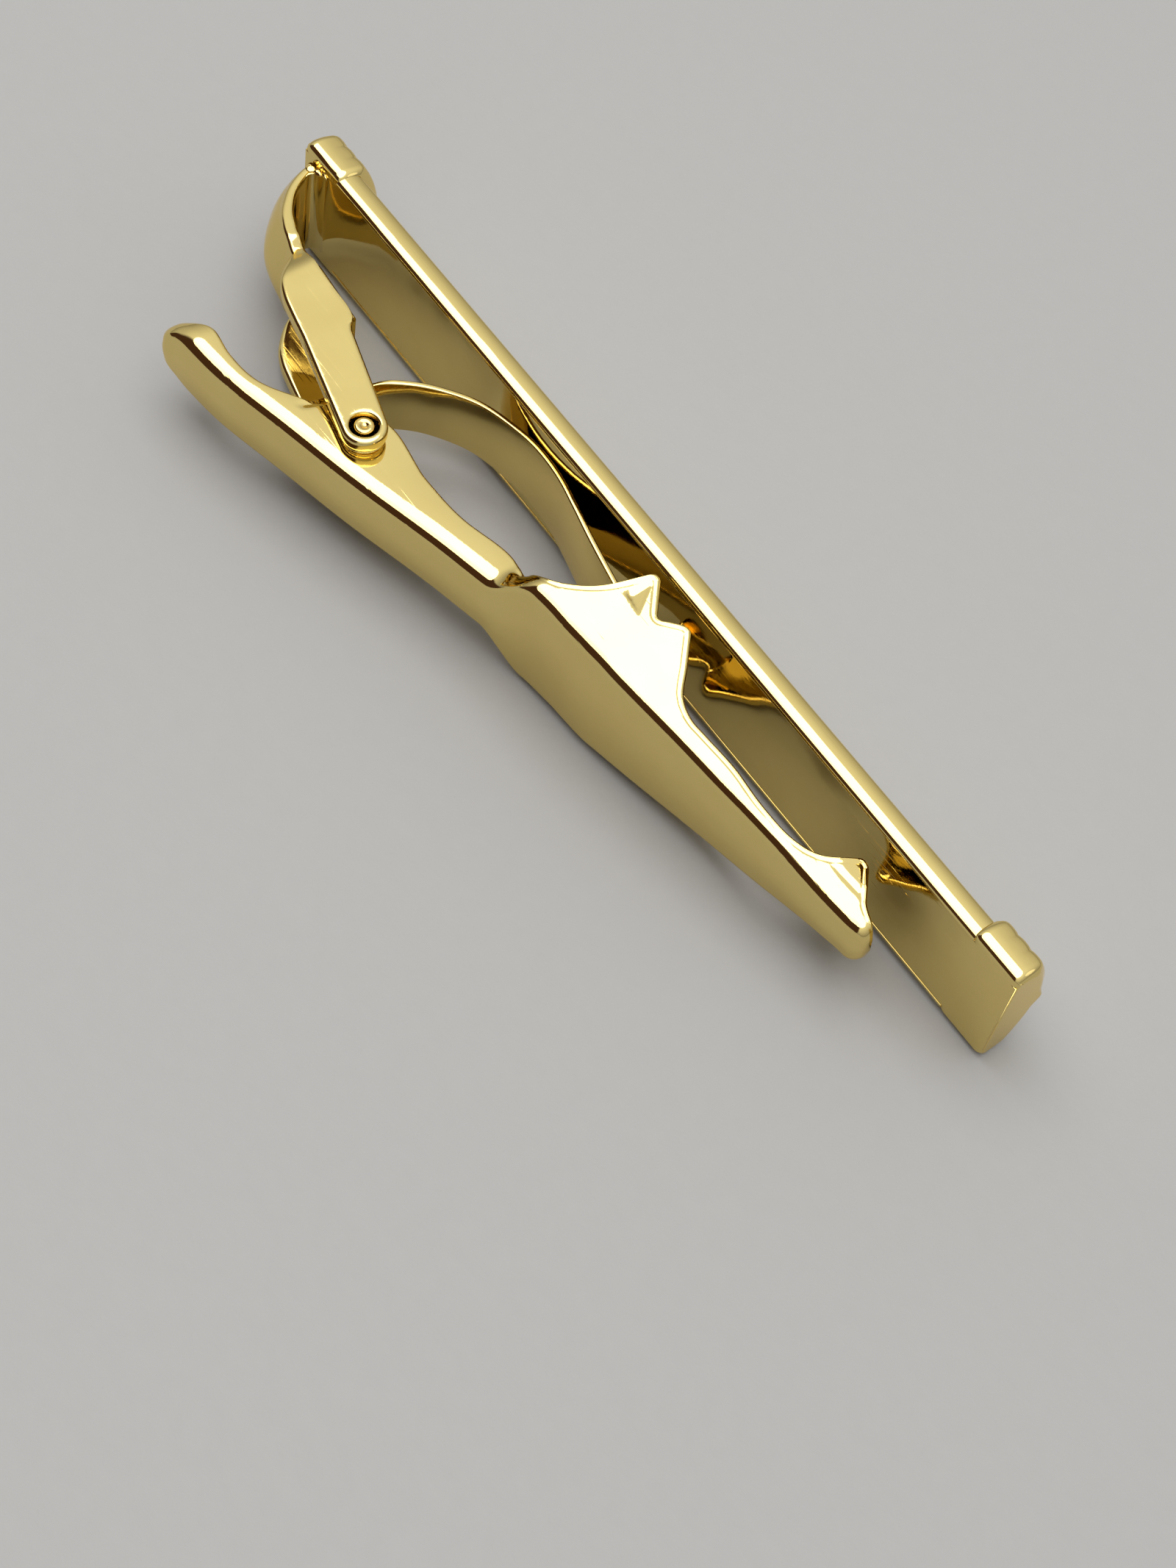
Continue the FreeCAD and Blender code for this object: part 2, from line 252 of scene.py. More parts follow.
def rim_levels(low: float, high: float, radius: float, steps: int) -> list[Plan]:
    """Steps along a prism with rounded rims.

    Args:
        low: Start of the prism.
        high: End of the prism.
        radius: Rim radius.
        steps: Steps in each rim.

    Returns:
        How far the outline is drawn in, and the height, for each ring.
    """
    turns = np.linspace(0.0, math.pi / 2, steps + 1)
    levels = [(radius * (1 - math.sin(t)), low + radius * (1 - math.cos(t))) for t in turns]
    return levels + [(draw, low + high - height) for draw, height in levels[::-1]]


# Meshes


def put_in_scene(name: str, data: bpy.types.ID) -> bpy.types.Object:
    """Puts data into the scene at the origin.

    Args:
        name: Object name.
        data: Mesh, curve, lamp or camera.

    Returns:
        The linked object.
    """
    made = bpy.data.objects.new(name, data)
    bpy.context.scene.collection.objects.link(made)
    return made


def close_mesh(mesh: bpy.types.Mesh, weld: float) -> None:
    """Joins doubled points, drops edges of no length and turns the faces outwards.

    Args:
        mesh: Mesh to work on.
        weld: Points nearer than this, in metres, become one.
    """
    work = bmesh.new()
    work.from_mesh(mesh)
    bmesh.ops.remove_doubles(work, verts=work.verts, dist=weld)
    bmesh.ops.dissolve_degenerate(work, edges=work.edges, dist=NO_LENGTH)
    bmesh.ops.recalc_face_normals(work, faces=work.faces)
    work.to_mesh(mesh)
    work.free()


def plain_mesh(piece: bpy.types.Object) -> bpy.types.Mesh:
    """Works a piece's modifiers into a mesh and takes them off the piece.

    Args:
        piece: Object with modifiers.

    Returns:
        The new mesh, of the piece's name.
    """
    graph = bpy.context.evaluated_depsgraph_get()
    graph.update()
    mesh = bpy.data.meshes.new_from_object(piece.evaluated_get(graph), depsgraph=graph)
    mesh.name = piece.name
    piece.modifiers.clear()
    return mesh


def loft(count: int, around: int) -> list[list[int]]:
    """Returns the faces between neighbouring closed rings, from their count and the points round each."""
    return [
        [i * around + k, i * around + (k + 1) % around,
         (i + 1) * around + (k + 1) % around, (i + 1) * around + k]
        for i in range(count - 1) for k in range(around)
    ]


def filled(outer: np.ndarray, hole: np.ndarray, pitch: float) -> tuple[np.ndarray, list[list[int]]]:
    """Fills the face between an outline and a round hole with even triangles.

    Args:
        outer: Outline in plan.
        hole: Points round the hole.
        pitch: Spacing of the points inside.

    Returns:
        Plan points and triangles.
    """
    row_pitch, clearance, on_hole, merge = 0.87 * pitch, 0.6 * pitch, 1e-4, 1e-7
    bounds = np.vstack([outer, hole])
    low, high = outer.min(axis=0), outer.max(axis=0)
    columns, rows = np.meshgrid(np.arange(low[0], high[0], pitch), np.arange(low[1], high[1], row_pitch))
    columns = columns + pitch / 2 * (np.arange(len(rows)) % 2)[:, None]
    grid = np.column_stack([columns.ravel(), rows.ravel()])
    centre = hole.mean(axis=0)
    radius = np.linalg.norm(hole[0] - centre)
    clear = np.min(np.linalg.norm(grid[:, None] - bounds[None], axis=2), axis=1) > clearance
    clear &= np.linalg.norm(grid - centre, axis=1) > radius
    clear &= inside(outer, grid)
    spots = np.vstack([bounds, grid[clear]])
    edges = []
    for first, count in ((0, len(outer)), (len(outer), len(hole))):
        edges += [(first + k, first + (k + 1) % count) for k in range(count)]
    points, _, faces, *_ = delaunay_2d_cdt([Vector(spot) for spot in spots], edges, [], 1, merge)
    flat = np.array([point[:] for point in points])
    off = np.linalg.norm(flat - centre, axis=1) - radius
    return flat, [list(face) for face in faces if off[list(face)].max() > on_hole]


@dataclass
class MeshParts:
    """Collects several closed shells into one piece.

    Attributes:
        points: Runs of plan points.
        faces: Corner numbers of each face.
    """

    points: list[np.ndarray] = field(default_factory=list)
    faces: list[list[int]] = field(default_factory=list)

    def add(self, points: np.ndarray, faces: Sequence[Sequence[int]]) -> None:
        """Adds points and the faces between them.

        Args:
            points: Plan points.
            faces: Corner numbers, counted from the first of these points.
        """
        start = sum(len(run) for run in self.points)
        self.points.append(points)
        self.faces += [[start + corner for corner in face] for face in faces]

    def add_loft(self, rings: np.ndarray, capped: bool = True) -> None:
        """Adds a lofted shell.

        Args:
            rings: Points as rings by points by three.
            capped: Closes the first and the last ring.
        """
        count, around = rings.shape[:2]
        faces = loft(count, around)
        if capped:
            faces += [list(range(first, first + around)) for first in (0, (count - 1) * around)]
        self.add(rings.reshape(-1, 3), faces)

    def add_prism(self, outline: np.ndarray, span: Plan, radius: float, axis: Axis, steps: int) -> None:
        """Adds an outline drawn out along an axis with rounded rims.

        Args:
            outline: Counter-clockwise outline.
            span: Start and end along the axis.
            radius: Rim radius.
            axis: Direction of drawing.
            steps: Steps in each rim.
        """
        rings = []
        for draw, height in rim_levels(*span, radius, steps):
            flat = inset(outline, draw)
            ring = np.column_stack([flat, np.full(len(flat), height)])
            rings.append(ring[:, list(axis.value)])
        self.add_loft(np.array(rings))

    def piece(self, name: str, level: bool = False) -> bpy.types.Object:
        """Makes the shells one closed, smooth-shaded piece.

        Args:
            name: Piece name.
            level: Keeps wide flat faces level in the shading.

        Returns:
            The linked object, at the origin.
        """
        mesh = bpy.data.meshes.new(name)
        mesh.from_pydata(DATUM.metres(np.vstack(self.points)).tolist(), [], self.faces)
        close_mesh(mesh, DRAWN_WELD)
        mesh.shade_smooth()
        piece = put_in_scene(name, mesh)
        if level:
            weigh = piece.modifiers.new("level faces", "WEIGHTED_NORMAL")
            weigh.weight, weigh.keep_sharp = 100, True
            piece.data = plain_mesh(piece)
        LOG.info("made %s with %d faces", name, len(piece.data.polygons))
        return piece


# Node trees


class Wiring:
    """Adds nodes to one tree and wires them.

    Attributes:
        tree: Tree that is worked on.
    """

    def __init__(self, tree: bpy.types.NodeTree) -> None:
        """Takes the tree to work on."""
        self.tree = tree

    def feed(self, node: bpy.types.Node, inputs: dict[str | int, object]) -> None:
        """Wires sockets into a node's inputs, or sets fixed values on them.

        Args:
            node: Node to feed.
            inputs: Sockets and values by the input's name or number.
        """
        for key, amount in inputs.items():
            if isinstance(amount, bpy.types.NodeSocket):
                self.tree.links.new(amount, node.inputs[key])
            else:
                node.inputs[key].default_value = amount

    def node(
        self, kind: str, inputs: dict[str | int, object], result: str | int = 0, **settings: object
    ) -> bpy.types.NodeSocket:
        """Adds a node.

        Args:
            kind: Node type.
            inputs: Sockets and values by the input's name or number.
            result: Output that is used, by name or number.
            **settings: The node's own properties.

        Returns:
            The output socket.
        """
        made = self.tree.nodes.new(kind)
        for key, amount in settings.items():
            setattr(made, key, amount)
        self.feed(made, inputs)
        return made.outputs[result]

    def noise(self, spot: bpy.types.NodeSocket, scale: float, detail: float) -> bpy.types.NodeSocket:
        """Returns a noise over a place."""
        return self.node("ShaderNodeTexNoise", {"Vector": spot, "Scale": scale, "Detail": detail}, "Fac")

    def fit_range(
        self, value: bpy.types.NodeSocket, taken: tuple[object, object], given: Plan = (0.0, 1.0),
        way: str = "LINEAR"
    ) -> bpy.types.NodeSocket:
        """Fits a value from one range to another.

        Args:
            value: Value to fit.
            taken: Low and high end of its own range.
            given: What the ends become.
            way: Shape of the change.

        Returns:
            The fitted value.
        """
        ends = dict(zip(("From Min", "From Max", "To Min", "To Max"), (*taken, *given)))
        return self.node("ShaderNodeMapRange", {"Value": value, **ends}, "Result", interpolation_type=way)

    def sum(
        self, operation: str, one: bpy.types.NodeSocket, two: bpy.types.NodeSocket | float
    ) -> bpy.types.NodeSocket:
        """Returns the result of a sum of a socket with another or with a number."""
        return self.node("ShaderNodeMath", {0: one, 1: two}, "Value", operation=operation)

    def split(self, spot: bpy.types.NodeSocket) -> dict[str, bpy.types.NodeSocket]:
        """Returns a place's three numbers by axis."""
        made = self.node("ShaderNodeSeparateXYZ", {"Vector": spot}).node
        return {axis: made.outputs[axis] for axis in "XYZ"}

    def mix(
        self, share: bpy.types.NodeSocket, one: Sequence[float] | bpy.types.NodeSocket, two: Sequence[float]
    ) -> bpy.types.NodeSocket:
        """Returns a colour between two colours."""
        return self.node("ShaderNodeMix", {"Factor": share, "A": one, "B": two}, "Result", data_type="RGBA")

    def bump(
        self, height: bpy.types.NodeSocket, strength: float | bpy.types.NodeSocket, distance: float,
        below: bpy.types.NodeSocket | None = None
    ) -> bpy.types.NodeSocket:
        """Lays a relief over another.

        Args:
            height: Height of the relief.
            strength: Strength of the relief.
            distance: Depth of the relief in metres.
            below: Relief it lies on, if any.

        Returns:
            The normal.
        """
        inputs = {"Height": height, "Strength": strength, "Distance": distance}
        if below is not None:
            inputs["Normal"] = below
        return self.node("ShaderNodeBump", inputs, "Normal")


def opaque(colour: Colour) -> tuple[float, float, float, float]:
    """Returns a colour with full cover."""
    return (*colour, 1.0)


# Finishes


@dataclass(frozen=True)
class GoldFinish:
    """One plated gold finish.

    Attributes:
        slot: Material slot.
        colour: Linear colour of the plate.
        roughness: Mean roughness.
        haze: Change of roughness across the marks.
        brush: Way the polishing marks run.
        brush_depth: Bump of the polishing marks.
        scratch: Strength of the stray scratches.
        specks: Strength of the small pits.
        ripple: Strength of the slow waves the polishing wheel leaves.
        worn: Plan x from which handling scratches crowd, or None.
        worn_run: Length in metres over which they begin.
        thin: Share of the colour that is left where the plate is thin.
        glance: Tint of the plate at a glancing angle.
        fine: Depth in metres of marks, scratches and pits.
        slow: Depth in metres of the slow waves.
        smoothest: Least roughness.
        cloud_scale: Scale of the clouds in tone and roughness.
        wave_scale: Scale of the slow waves.
        pit_scale: Scale of the small pits.
        pit_edge: Distances between which a pit's side rises.
        grain_range: Range of the noise that the roughness follows.
        crowding: Shares of the scratches outside the worn stretch and in it.
        scratch_turns: Turns of the two runs of scratches.
        scratch_stretch: Texture stretch of the scratches.
        scratch_edge: Noise values between which a scratch begins.
    """

    slot: str
    colour: Colour
    roughness: float
    haze: float
    brush: Brush
    brush_depth: float
    scratch: float
    specks: float
    ripple: float
    worn: float | None = None
    worn_run: float = 0.004
    thin: Colour = (0.94, 0.91, 0.84)
    glance: Colour = (1.0, 0.92, 0.74)
    fine: float = 0.00002
    slow: float = 0.00009
    smoothest: float = 0.02
    cloud_scale: float = 420.0
    wave_scale: float = 240.0
    pit_scale: float = 1500.0
    pit_edge: Plan = (0.05, 0.14)
    grain_range: Plan = (0.3, 0.7)
    crowding: Plan = (0.25, 2.5)
    scratch_turns: Plan = (0.5, -0.35)
    scratch_stretch: Place = (120.0, 2600.0, 2600.0)
    scratch_edge: Plan = (0.66, 0.69)

    def material(self) -> bpy.types.Material:
        """Makes the node material once.

        Returns:
            The material.
        """
        name = "worked_" + self.slot
        made = bpy.data.materials.get(name)
        if made is None:
            made = bpy.data.materials.new(name)
            made.use_nodes = True
            self._wire(made.node_tree)
            LOG.info("made finish %s", self.slot)
        return made

    def _wire(self, tree: bpy.types.NodeTree) -> None:
        """Wires the plate's tone, roughness and relief into the shader.

        Args:
            tree: Material tree.
        """
        net = Wiring(tree)
        spot = net.node("ShaderNodeTexCoord", {}, "Object")
        brushed = net.node("ShaderNodeMapping", {"Vector": spot, "Scale": self.brush.value})
        marks = net.noise(brushed, 1.0, 3.0)
        cloud = net.noise(spot, self.cloud_scale, 4.0)
        thin = tuple(tone * share for tone, share in zip(self.colour, self.thin))
        mean = {0: marks, 1: 0.5, 2: net.sum("MULTIPLY", cloud, 0.5)}
        grain = net.node("ShaderNodeMath", mean, "Value", operation="MULTIPLY_ADD")
        rough = (max(self.smoothest, self.roughness - self.haze), self.roughness + self.haze)
        net.feed(tree.nodes["Principled BSDF"], {
            "Metallic": 1.0,
            "Specular Tint": opaque(self.glance),
            "Base Color": net.mix(cloud, opaque(thin), opaque(self.colour)),
            "Roughness": net.fit_range(grain, self.grain_range, rough),
            "Normal": self._relief(net, spot, marks),
        })

    def _relief(
        self, net: Wiring, spot: bpy.types.NodeSocket, marks: bpy.types.NodeSocket
    ) -> bpy.types.NodeSocket:
        """Lays slow waves, polishing marks, stray scratches and small pits over each other.

        Args:
            net: Material tree.
            spot: Place on the piece.
            marks: Noise of the polishing marks.

        Returns:
            The normal.
        """
        waves = net.bump(net.noise(spot, self.wave_scale, 1.0), self.ripple, self.slow)
        relief = net.bump(marks, self.brush_depth, self.fine, waves)
        strength: float | bpy.types.NodeSocket = self.scratch
        if self.worn is not None:
            start = DATUM.along(self.worn)
            few, many = self.crowding
            crowd = (self.scratch * few, min(1.0, self.scratch * many))
            reach = (start, start + self.worn_run)
            strength = net.fit_range(net.split(spot)["X"], reach, crowd, "SMOOTHSTEP")
        for angle in self.scratch_turns:
            turned = {"Vector": spot, "Rotation": (0.0, angle, angle), "Scale": self.scratch_stretch}
            lines = net.noise(net.node("ShaderNodeMapping", turned), 1.0, 1.0)
            cuts = net.fit_range(lines, self.scratch_edge, (1.0, 0.0))
            relief = net.bump(cuts, strength, self.fine, relief)
        pits = net.node("ShaderNodeTexVoronoi", {"Vector": spot, "Scale": self.pit_scale}, "Distance")
        return net.bump(net.fit_range(pits, self.pit_edge), self.specks, self.fine, relief)


GOLD: Colour = (0.80, 0.645, 0.255)
POLISHED = GoldFinish("polished_gold", GOLD, 0.045, 0.02, Brush.ALONG_BAR, 0.015, 0.05, 0.02, 0.5)
MIRROR = GoldFinish("mirror_gold", GOLD, 0.03, 0.015, Brush.ALONG_BAR, 0.03, 0.08, 0.01, 0.8, 43.0)
SATIN = GoldFinish("satin_gold", GOLD, 0.075, 0.03, Brush.CLOUDY, 0.03, 0.06, 0.04, 0.6)
BRASS = GoldFinish("rivet_brass", (0.76, 0.58, 0.22), 0.09, 0.04, Brush.CLOUDY, 0.06, 0.06, 0.06, 0.3)
BRUSHED = GoldFinish("brushed_gold", GOLD, 0.04, 0.02, Brush.ALONG_BAR, 0.035, 0.06, 0.02, 0.5)
SPRING = GoldFinish("spring_gold", (0.78, 0.62, 0.24), 0.055, 0.02, Brush.ALONG_BAR, 0.03, 0.05, 0.02, 0.5)


def dress(piece: bpy.types.Object, finish: GoldFinish) -> None:
    """Gives a piece its finish.

    Args:
        piece: Piece to dress.
        finish: Its finish.
    """
    piece.data.materials.clear()
    piece.data.materials.append(finish.material())


def seat(piece: bpy.types.Object, body: str, node: str | None = None) -> None:
    """Rides a piece on a body, in place of a node where one is named.

    Args:
        piece: Dressed piece.
        body: Body it rides on.
        node: Node it replaces, if any.
    """
    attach(piece, body)
    if node:
        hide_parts(node)


# The bar


@dataclass(frozen=True)
class BarSection:
    """Section across the bar or a cap, back lips included.

    Attributes:
        half: Half width.
        side: Depth of the side, from the plate's face.
        crown: Depth of the domed front.
        lip: Width of each back lip.
        rise: Height of the lip over the plate's face.
        back_round: Small radius at the lip's back.
        edge_round: Wide radius from the lip to the side.
        meet: Angle at which the small radius runs into the wide one.
        inner_round: Fine radius at the lip's inner edge.
        front_round: Radius where side and front meet.
        front_turn: Angle at which that radius ends.
        slope: How far the side draws in towards the front.
        bed: Depth of the bed the plate lies in.
    """

    half: float
    side: float
    crown: float
    lip: float = 0.4
    rise: float = 0.045
    back_round: float = 0.26
    edge_round: float = 0.9
    meet: float = 116.0
    inner_round: float = 0.03
    front_round: float = 0.35
    front_turn: float = 24.0
    slope: float = 0.14
    bed: float = 0.3

    def outline(self) -> np.ndarray:
        """Draws the section.

        Returns:
            Counter-clockwise outline in y and z.
        """
        upper = self._lip()
        start = upper[-1][-1, 0]
        run = self.side - self.front_round - start
        along = np.linspace(0.0, 1.0, 11)[1:]
        side = np.column_stack([start + along * run, self.half - self.slope * along ** 2])
        turn = 90.0 - math.degrees(math.atan2(2 * self.slope, run))
        middle = side[-1] - self.front_round * direction(turn)
        corner = arc(middle, self.front_round, turn, self.front_turn, 8)[1:]
        y, z = corner[-1]
        fall = np.linspace(0.0, 1.0, 17)[1:]
        dome = np.column_stack([y + (self.crown - y) * (1 - (1 - fall) ** 2), z * (1 - fall)])
        top = np.vstack([*upper, side, corner, dome])
        return counter_clockwise(np.vstack([top, top[:-1][::-1] * np.array([1.0, -1.0])]))

    def _lip(self) -> list[np.ndarray]:
        """Draws the lip from the plate's bed to the side.

        Returns:
            Runs of points.
        """
        inner, small, wide, fine = self.half - self.lip, self.back_round, self.edge_round, self.inner_round
        way = direction(self.meet)
        tight = np.array([small - self.rise, self.half - wide - (small - wide) * way[1]])
        broad = tight + (small - wide) * way
        runs, lean = [np.array([[self.bed, inner]])], 0.0
        if self.rise > fine:
            lean = math.degrees(math.asin((inner + fine - tight[1]) / (small - fine)))
            middle = (tight[0] - (small - fine) * math.cos(math.radians(lean)), inner + fine)
            runs.append(arc(middle, fine, 270, 180 - lean, 5)[:-1])
        runs.append(arc(tight, small, 180 - lean, self.meet, 12)[:-1])
        runs.append(arc(broad, wide, self.meet, 90, 8))
        return runs


@dataclass
class Bar:
    """The domed bar with its back plate and the raised, beaded cap at each end.

    Attributes:
        length: Length over both caps.
        shell: Section of the bar.
        shell_rim: Radius of the shell's ends.
        overlap: How far the shell goes into each cap.
        plate_half: Half width of the plate.
        plate_depth: Thickness of the plate.
        plate_rim: Radius of the plate's rims.
        plate_end: How far the plate stops short of each end.
        cap: Section of a cap.
        cap_length: Length of a cap.
        cap_round: Radius of a cap's ends.
        cap_start: How far a cap stops short of the end.
        crisp: Share of that radius that is left at the back.
        soft_from: Plan y and z from which the ends grow soft.
        soft_run: Lengths in y and z over which they do.
        bead: Height of the beads across a cap's front.
        bead_half: Half width of a bead.
        bead_places: Places of the beads from the cap's middle.
        bead_from: Plan y from which the beads rise.
        bead_run: Length over which they rise.
    """

    length: float = 56.0
    shell: BarSection = BarSection(3.6, 1.5, 2.2)
    shell_rim: float = 0.02
    overlap: float = 0.2
    plate_half: float = 3.21
    plate_depth: float = 0.5
    plate_rim: float = 0.04
    plate_end: float = 0.06
    cap: BarSection = BarSection(
        3.8, 1.95, 2.6, lip=0.595, rise=0.0, back_round=0.3, front_round=0.5, slope=0.2, bed=0.005)
    cap_length: float = 3.1
    cap_round: float = 0.45
    cap_start: float = 0.01
    crisp: float = 0.12
    soft_from: Plan = (0.3, 2.6)
    soft_run: Plan = (0.8, 0.9)
    bead: float = 0.16
    bead_half: float = 0.52
    bead_places: tuple[float, ...] = (-0.86, 0.0, 0.86)
    bead_from: float = 0.9
    bead_run: float = 0.8

    def build(self) -> None:
        """Builds and dresses the shell, the plate and both caps."""
        shell = MeshParts()
        inset_end = self.cap_length - self.overlap
        shell.add_prism(
            self.shell.outline(), (inset_end, self.length - inset_end), self.shell_rim, Axis.X, 1)
        self._finish(shell, "bar_shell", POLISHED, "front_shell")

        plate = MeshParts()
        half, near, far = self.plate_half, self.plate_end, self.length - self.plate_end
        outline = np.array([[-half, near], [half, near], [half, far], [-half, far]])
        plate.add_prism(outline, (0.0, self.plate_depth), self.plate_rim, Axis.Y, 3)
        self._finish(plate, "bar_plate", MIRROR, "back_plate")

        caps = (("cap_bracket_end", "bracket_end_cap", False), ("cap_jaw_end", "jaw_end_cap", True))
        for name, node, at_jaw in caps:
            block = MeshParts()
            block.add_loft(self._cap_rings(at_jaw))
            self._finish(block, name, POLISHED, node)

    def _cap_rings(self, at_jaw: bool) -> np.ndarray:
        """Returns the rings of one cap, soft at its ends and beaded across its front.

        Args:
            at_jaw: True for the cap at the jaw's end.

        Returns:
            Rings by points by three.
        """
        outline = self.cap.outline()
        drawn = inset(outline, 1.0) - outline
        # The back keeps a crisp end edge where the plate meets it.
        (from_y, from_z), (run_y, run_z) = self.soft_from, self.soft_run
        away = ease((np.abs(outline[:, 1]) - from_z) / run_z + (outline[:, 0] - from_y) / run_y)
        soft = self.crisp + (1 - self.crisp) * away
        front = ease((outline[:, 0] - self.bead_from) / self.bead_run)
        steps = 6
        levels = rim_levels(self.cap_start, self.cap_length, self.cap_round, steps)
        stations = np.linspace(self.cap_round, self.cap_length - self.cap_round, 40)[1:-1]
        middle = [(0.0, float(x)) for x in stations]
        rings = []
        for draw, height in levels[:steps + 1] + middle + levels[steps + 1:]:
            flat = outline + drawn * (draw * soft)[:, None]
            off = np.abs(height - self.cap_length / 2 - np.array(self.bead_places)).min()
            flat[:, 0] += self.bead * max(0.0, 1 - (off / self.bead_half) ** 2) ** 0.5 * front
            x = self.length - height if at_jaw else height
            rings.append(np.column_stack([np.full(len(flat), x), flat]))
        return np.array(rings)

    @staticmethod
    def _finish(parts: MeshParts, name: str, finish: GoldFinish, node: str) -> None:
        """Makes a piece of the bar, dresses it and puts it in place of its node.

        Args:
            parts: Shells of the piece.
            name: Piece name.
            finish: Finish.
            node: Node it replaces.
        """
        piece = parts.piece(name, level=True)
        dress(piece, finish)
        seat(piece, "bar", node)


# The bracket


@dataclass(frozen=True)
class SolderLump:
    """One uneven lump of solder at the bracket's foot.

    Attributes:
        place: Middle in plan.
        radii: Half sizes along x, y and z.
        turn: Phase of its unevenness.
        bumps: Shares by which three waves make it uneven.
    """

    place: Place
    radii: Place
    turn: float
    bumps: Place = (0.06, 0.03, 0.03)

    def rings(self) -> np.ndarray:
        """Draws the lump.

        Returns:
            Rings by points by three.
        """
        turn, (round_it, askew, along_it) = self.turn, self.bumps
        around = np.linspace(0.0, 2 * math.pi, 28, endpoint=False)
        rings = []
        for tilt in np.linspace(-0.48, 0.48, 17) * math.pi:
            wide = math.cos(tilt)
            shape = np.column_stack(
                [np.cos(around) * wide, np.sin(around) * wide, np.full(len(around), math.sin(tilt))])
            uneven = 1 + round_it * np.sin(3 * around + turn) + askew * np.sin(5 * around + 4 * tilt + turn)
            uneven = uneven + along_it * np.sin(6 * tilt + turn)
            rings.append(np.array(self.place) + shape * np.array(self.radii) * uneven[:, None])
        return np.array(rings)


@dataclass
class Bracket:
    """The goose-neck strip with its web, two drilled ears and solder at the foot.

    Attributes:
        half: Height of the ears' outer faces from mid-width.
        neck_half: Half width of the neck.
        valley: How much narrower the strip is where neck and web meet.
        centre: Middle of the neck's curve in plan.
        shares: Places along the neck at which its radius and edge are given.
        inner: Inner radius at those places.
        edge: Thickness at the strip's edges at those places.
        swell: Extra thickness at mid-width.
        swell_from: Share of the neck from which the swelling fades.
        valley_from: Share of the neck from which it narrows.
        web_end: Plan point where the web ends.
        web_thickness: Thickness of the web.
        web_turn: How fast the web turns square to its run.
        web_widens: Shares of the web where it starts to widen, and over which it does.
        strip_round: Radius of the strip's long edges.
        round_share: Most of the thickness that this radius takes.
        swell_power: Fullness of the swelling across the strip.
        ear_radius: Radius of the ears' noses.
        ear_thickness: Thickness of the ears.
        ear_step: Spacing of points round an ear.
        ear_pitch: Spacing of points on an ear's faces.
        nose_drop: How far an ear sinks towards the neck.
        nose: Plan x between which it sinks.
        hole: Radius of the rivet's hole.
        sink: Radius of the countersink.
        sink_depth: Depth of the countersink.
        sink_lip: Depth of the countersink's soft lip.
        sink_neck: How much narrower the countersink is under that lip.
        sink_soft: Reach of the lip.
        rim: Radius of an ear's rim.
        crisp: Share of that radius taken away along the web.
        crisp_from: Plan point of the line beyond which the rim is crisp.
        crisp_fall: How much that line falls per millimetre.
        crisp_run: Length over which the rim grows crisp.
        crisp_to: Plan x at which it ends.
        foot: Start, pull and end of the solder's hollow inside the foot.
        foot_back: Points that close it behind.
        foot_rim: Radius of its rims and how far it stops inside the neck's edges.
        ear_left: Ear's outline on the thumb side.
        ear_right: Ear's outline on the bar's side.
        lumps: Lumps of solder.
    """

    half: float = 3.0
    neck_half: float = 2.86
    valley: float = 0.42
    centre: Plan = (4.95, 0.0)
    shares: tuple[float, ...] = (0.0, 0.2, 0.45, 0.7, 0.9, 1.0)
    inner: tuple[float, ...] = (3.85, 3.62, 3.32, 3.12, 3.12, 3.15)
    edge: tuple[float, ...] = (0.46, 0.5, 0.6, 0.74, 0.76, 0.78)
    swell: float = 0.8
    swell_from: float = 0.62
    valley_from: float = 0.86
    web_end: Plan = (10.1, -3.6)
    web_thickness: float = 0.78
    web_turn: float = 6.0
    web_widens: Plan = (0.05, 0.3)
    strip_round: float = 0.24
    round_share: float = 0.42
    swell_power: float = 0.9
    ear_radius: float = 1.15
    ear_thickness: float = 0.8
    ear_step: float = 0.09
    ear_pitch: float = 0.16
    nose_drop: float = 0.5
    nose: Plan = (4.75, 6.4)
    hole: float = 0.44
    sink: float = 0.77
    sink_depth: float = 0.4
    sink_lip: float = 0.1
    sink_neck: float = 0.04
    sink_soft: float = 0.14
    rim: float = 0.24
    crisp: float = 0.7
    crisp_from: Plan = (5.0, -4.35)
    crisp_fall: float = 0.11
    crisp_run: float = 0.5
    crisp_to: float = 10.4
    foot: tuple[Plan, Plan, Plan] = ((2.1, 0.01), (1.16, 0.0), (1.3, -0.78))
    foot_back: tuple[Plan, Plan, Plan] = ((1.0, -0.7), (0.85, 0.06), (2.1, 0.06))
    foot_rim: Plan = (0.05, 0.06)
    ear_left: tuple[Plan, ...] = (
        (4.93, -3.32), (4.8, -3.56), (4.96, -3.92), (5.33, -4.52), (5.93, -5.18), (6.51, -5.65),
        (7.32, -6.02), (8.2, -6.25), (9.9, -6.62))
    ear_right: tuple[Plan, ...] = (
        (10.75, -4.24), (10.45, -4.06), (10.1, -3.78), (9.47, -3.62), (8.51, -3.58), (7.11, -3.5),
        (5.86, -3.36), (4.93, -3.32))
    lumps: tuple[SolderLump, ...] = (
        SolderLump((0.98, -0.24, 2.84), (0.32, 0.3, 0.13), 0.0),
        SolderLump((1.46, -0.12, 2.88), (0.28, 0.2, 0.14), 1.7),
        SolderLump((1.88, -0.03, 2.92), (0.26, 0.12, 0.14), 3.4))

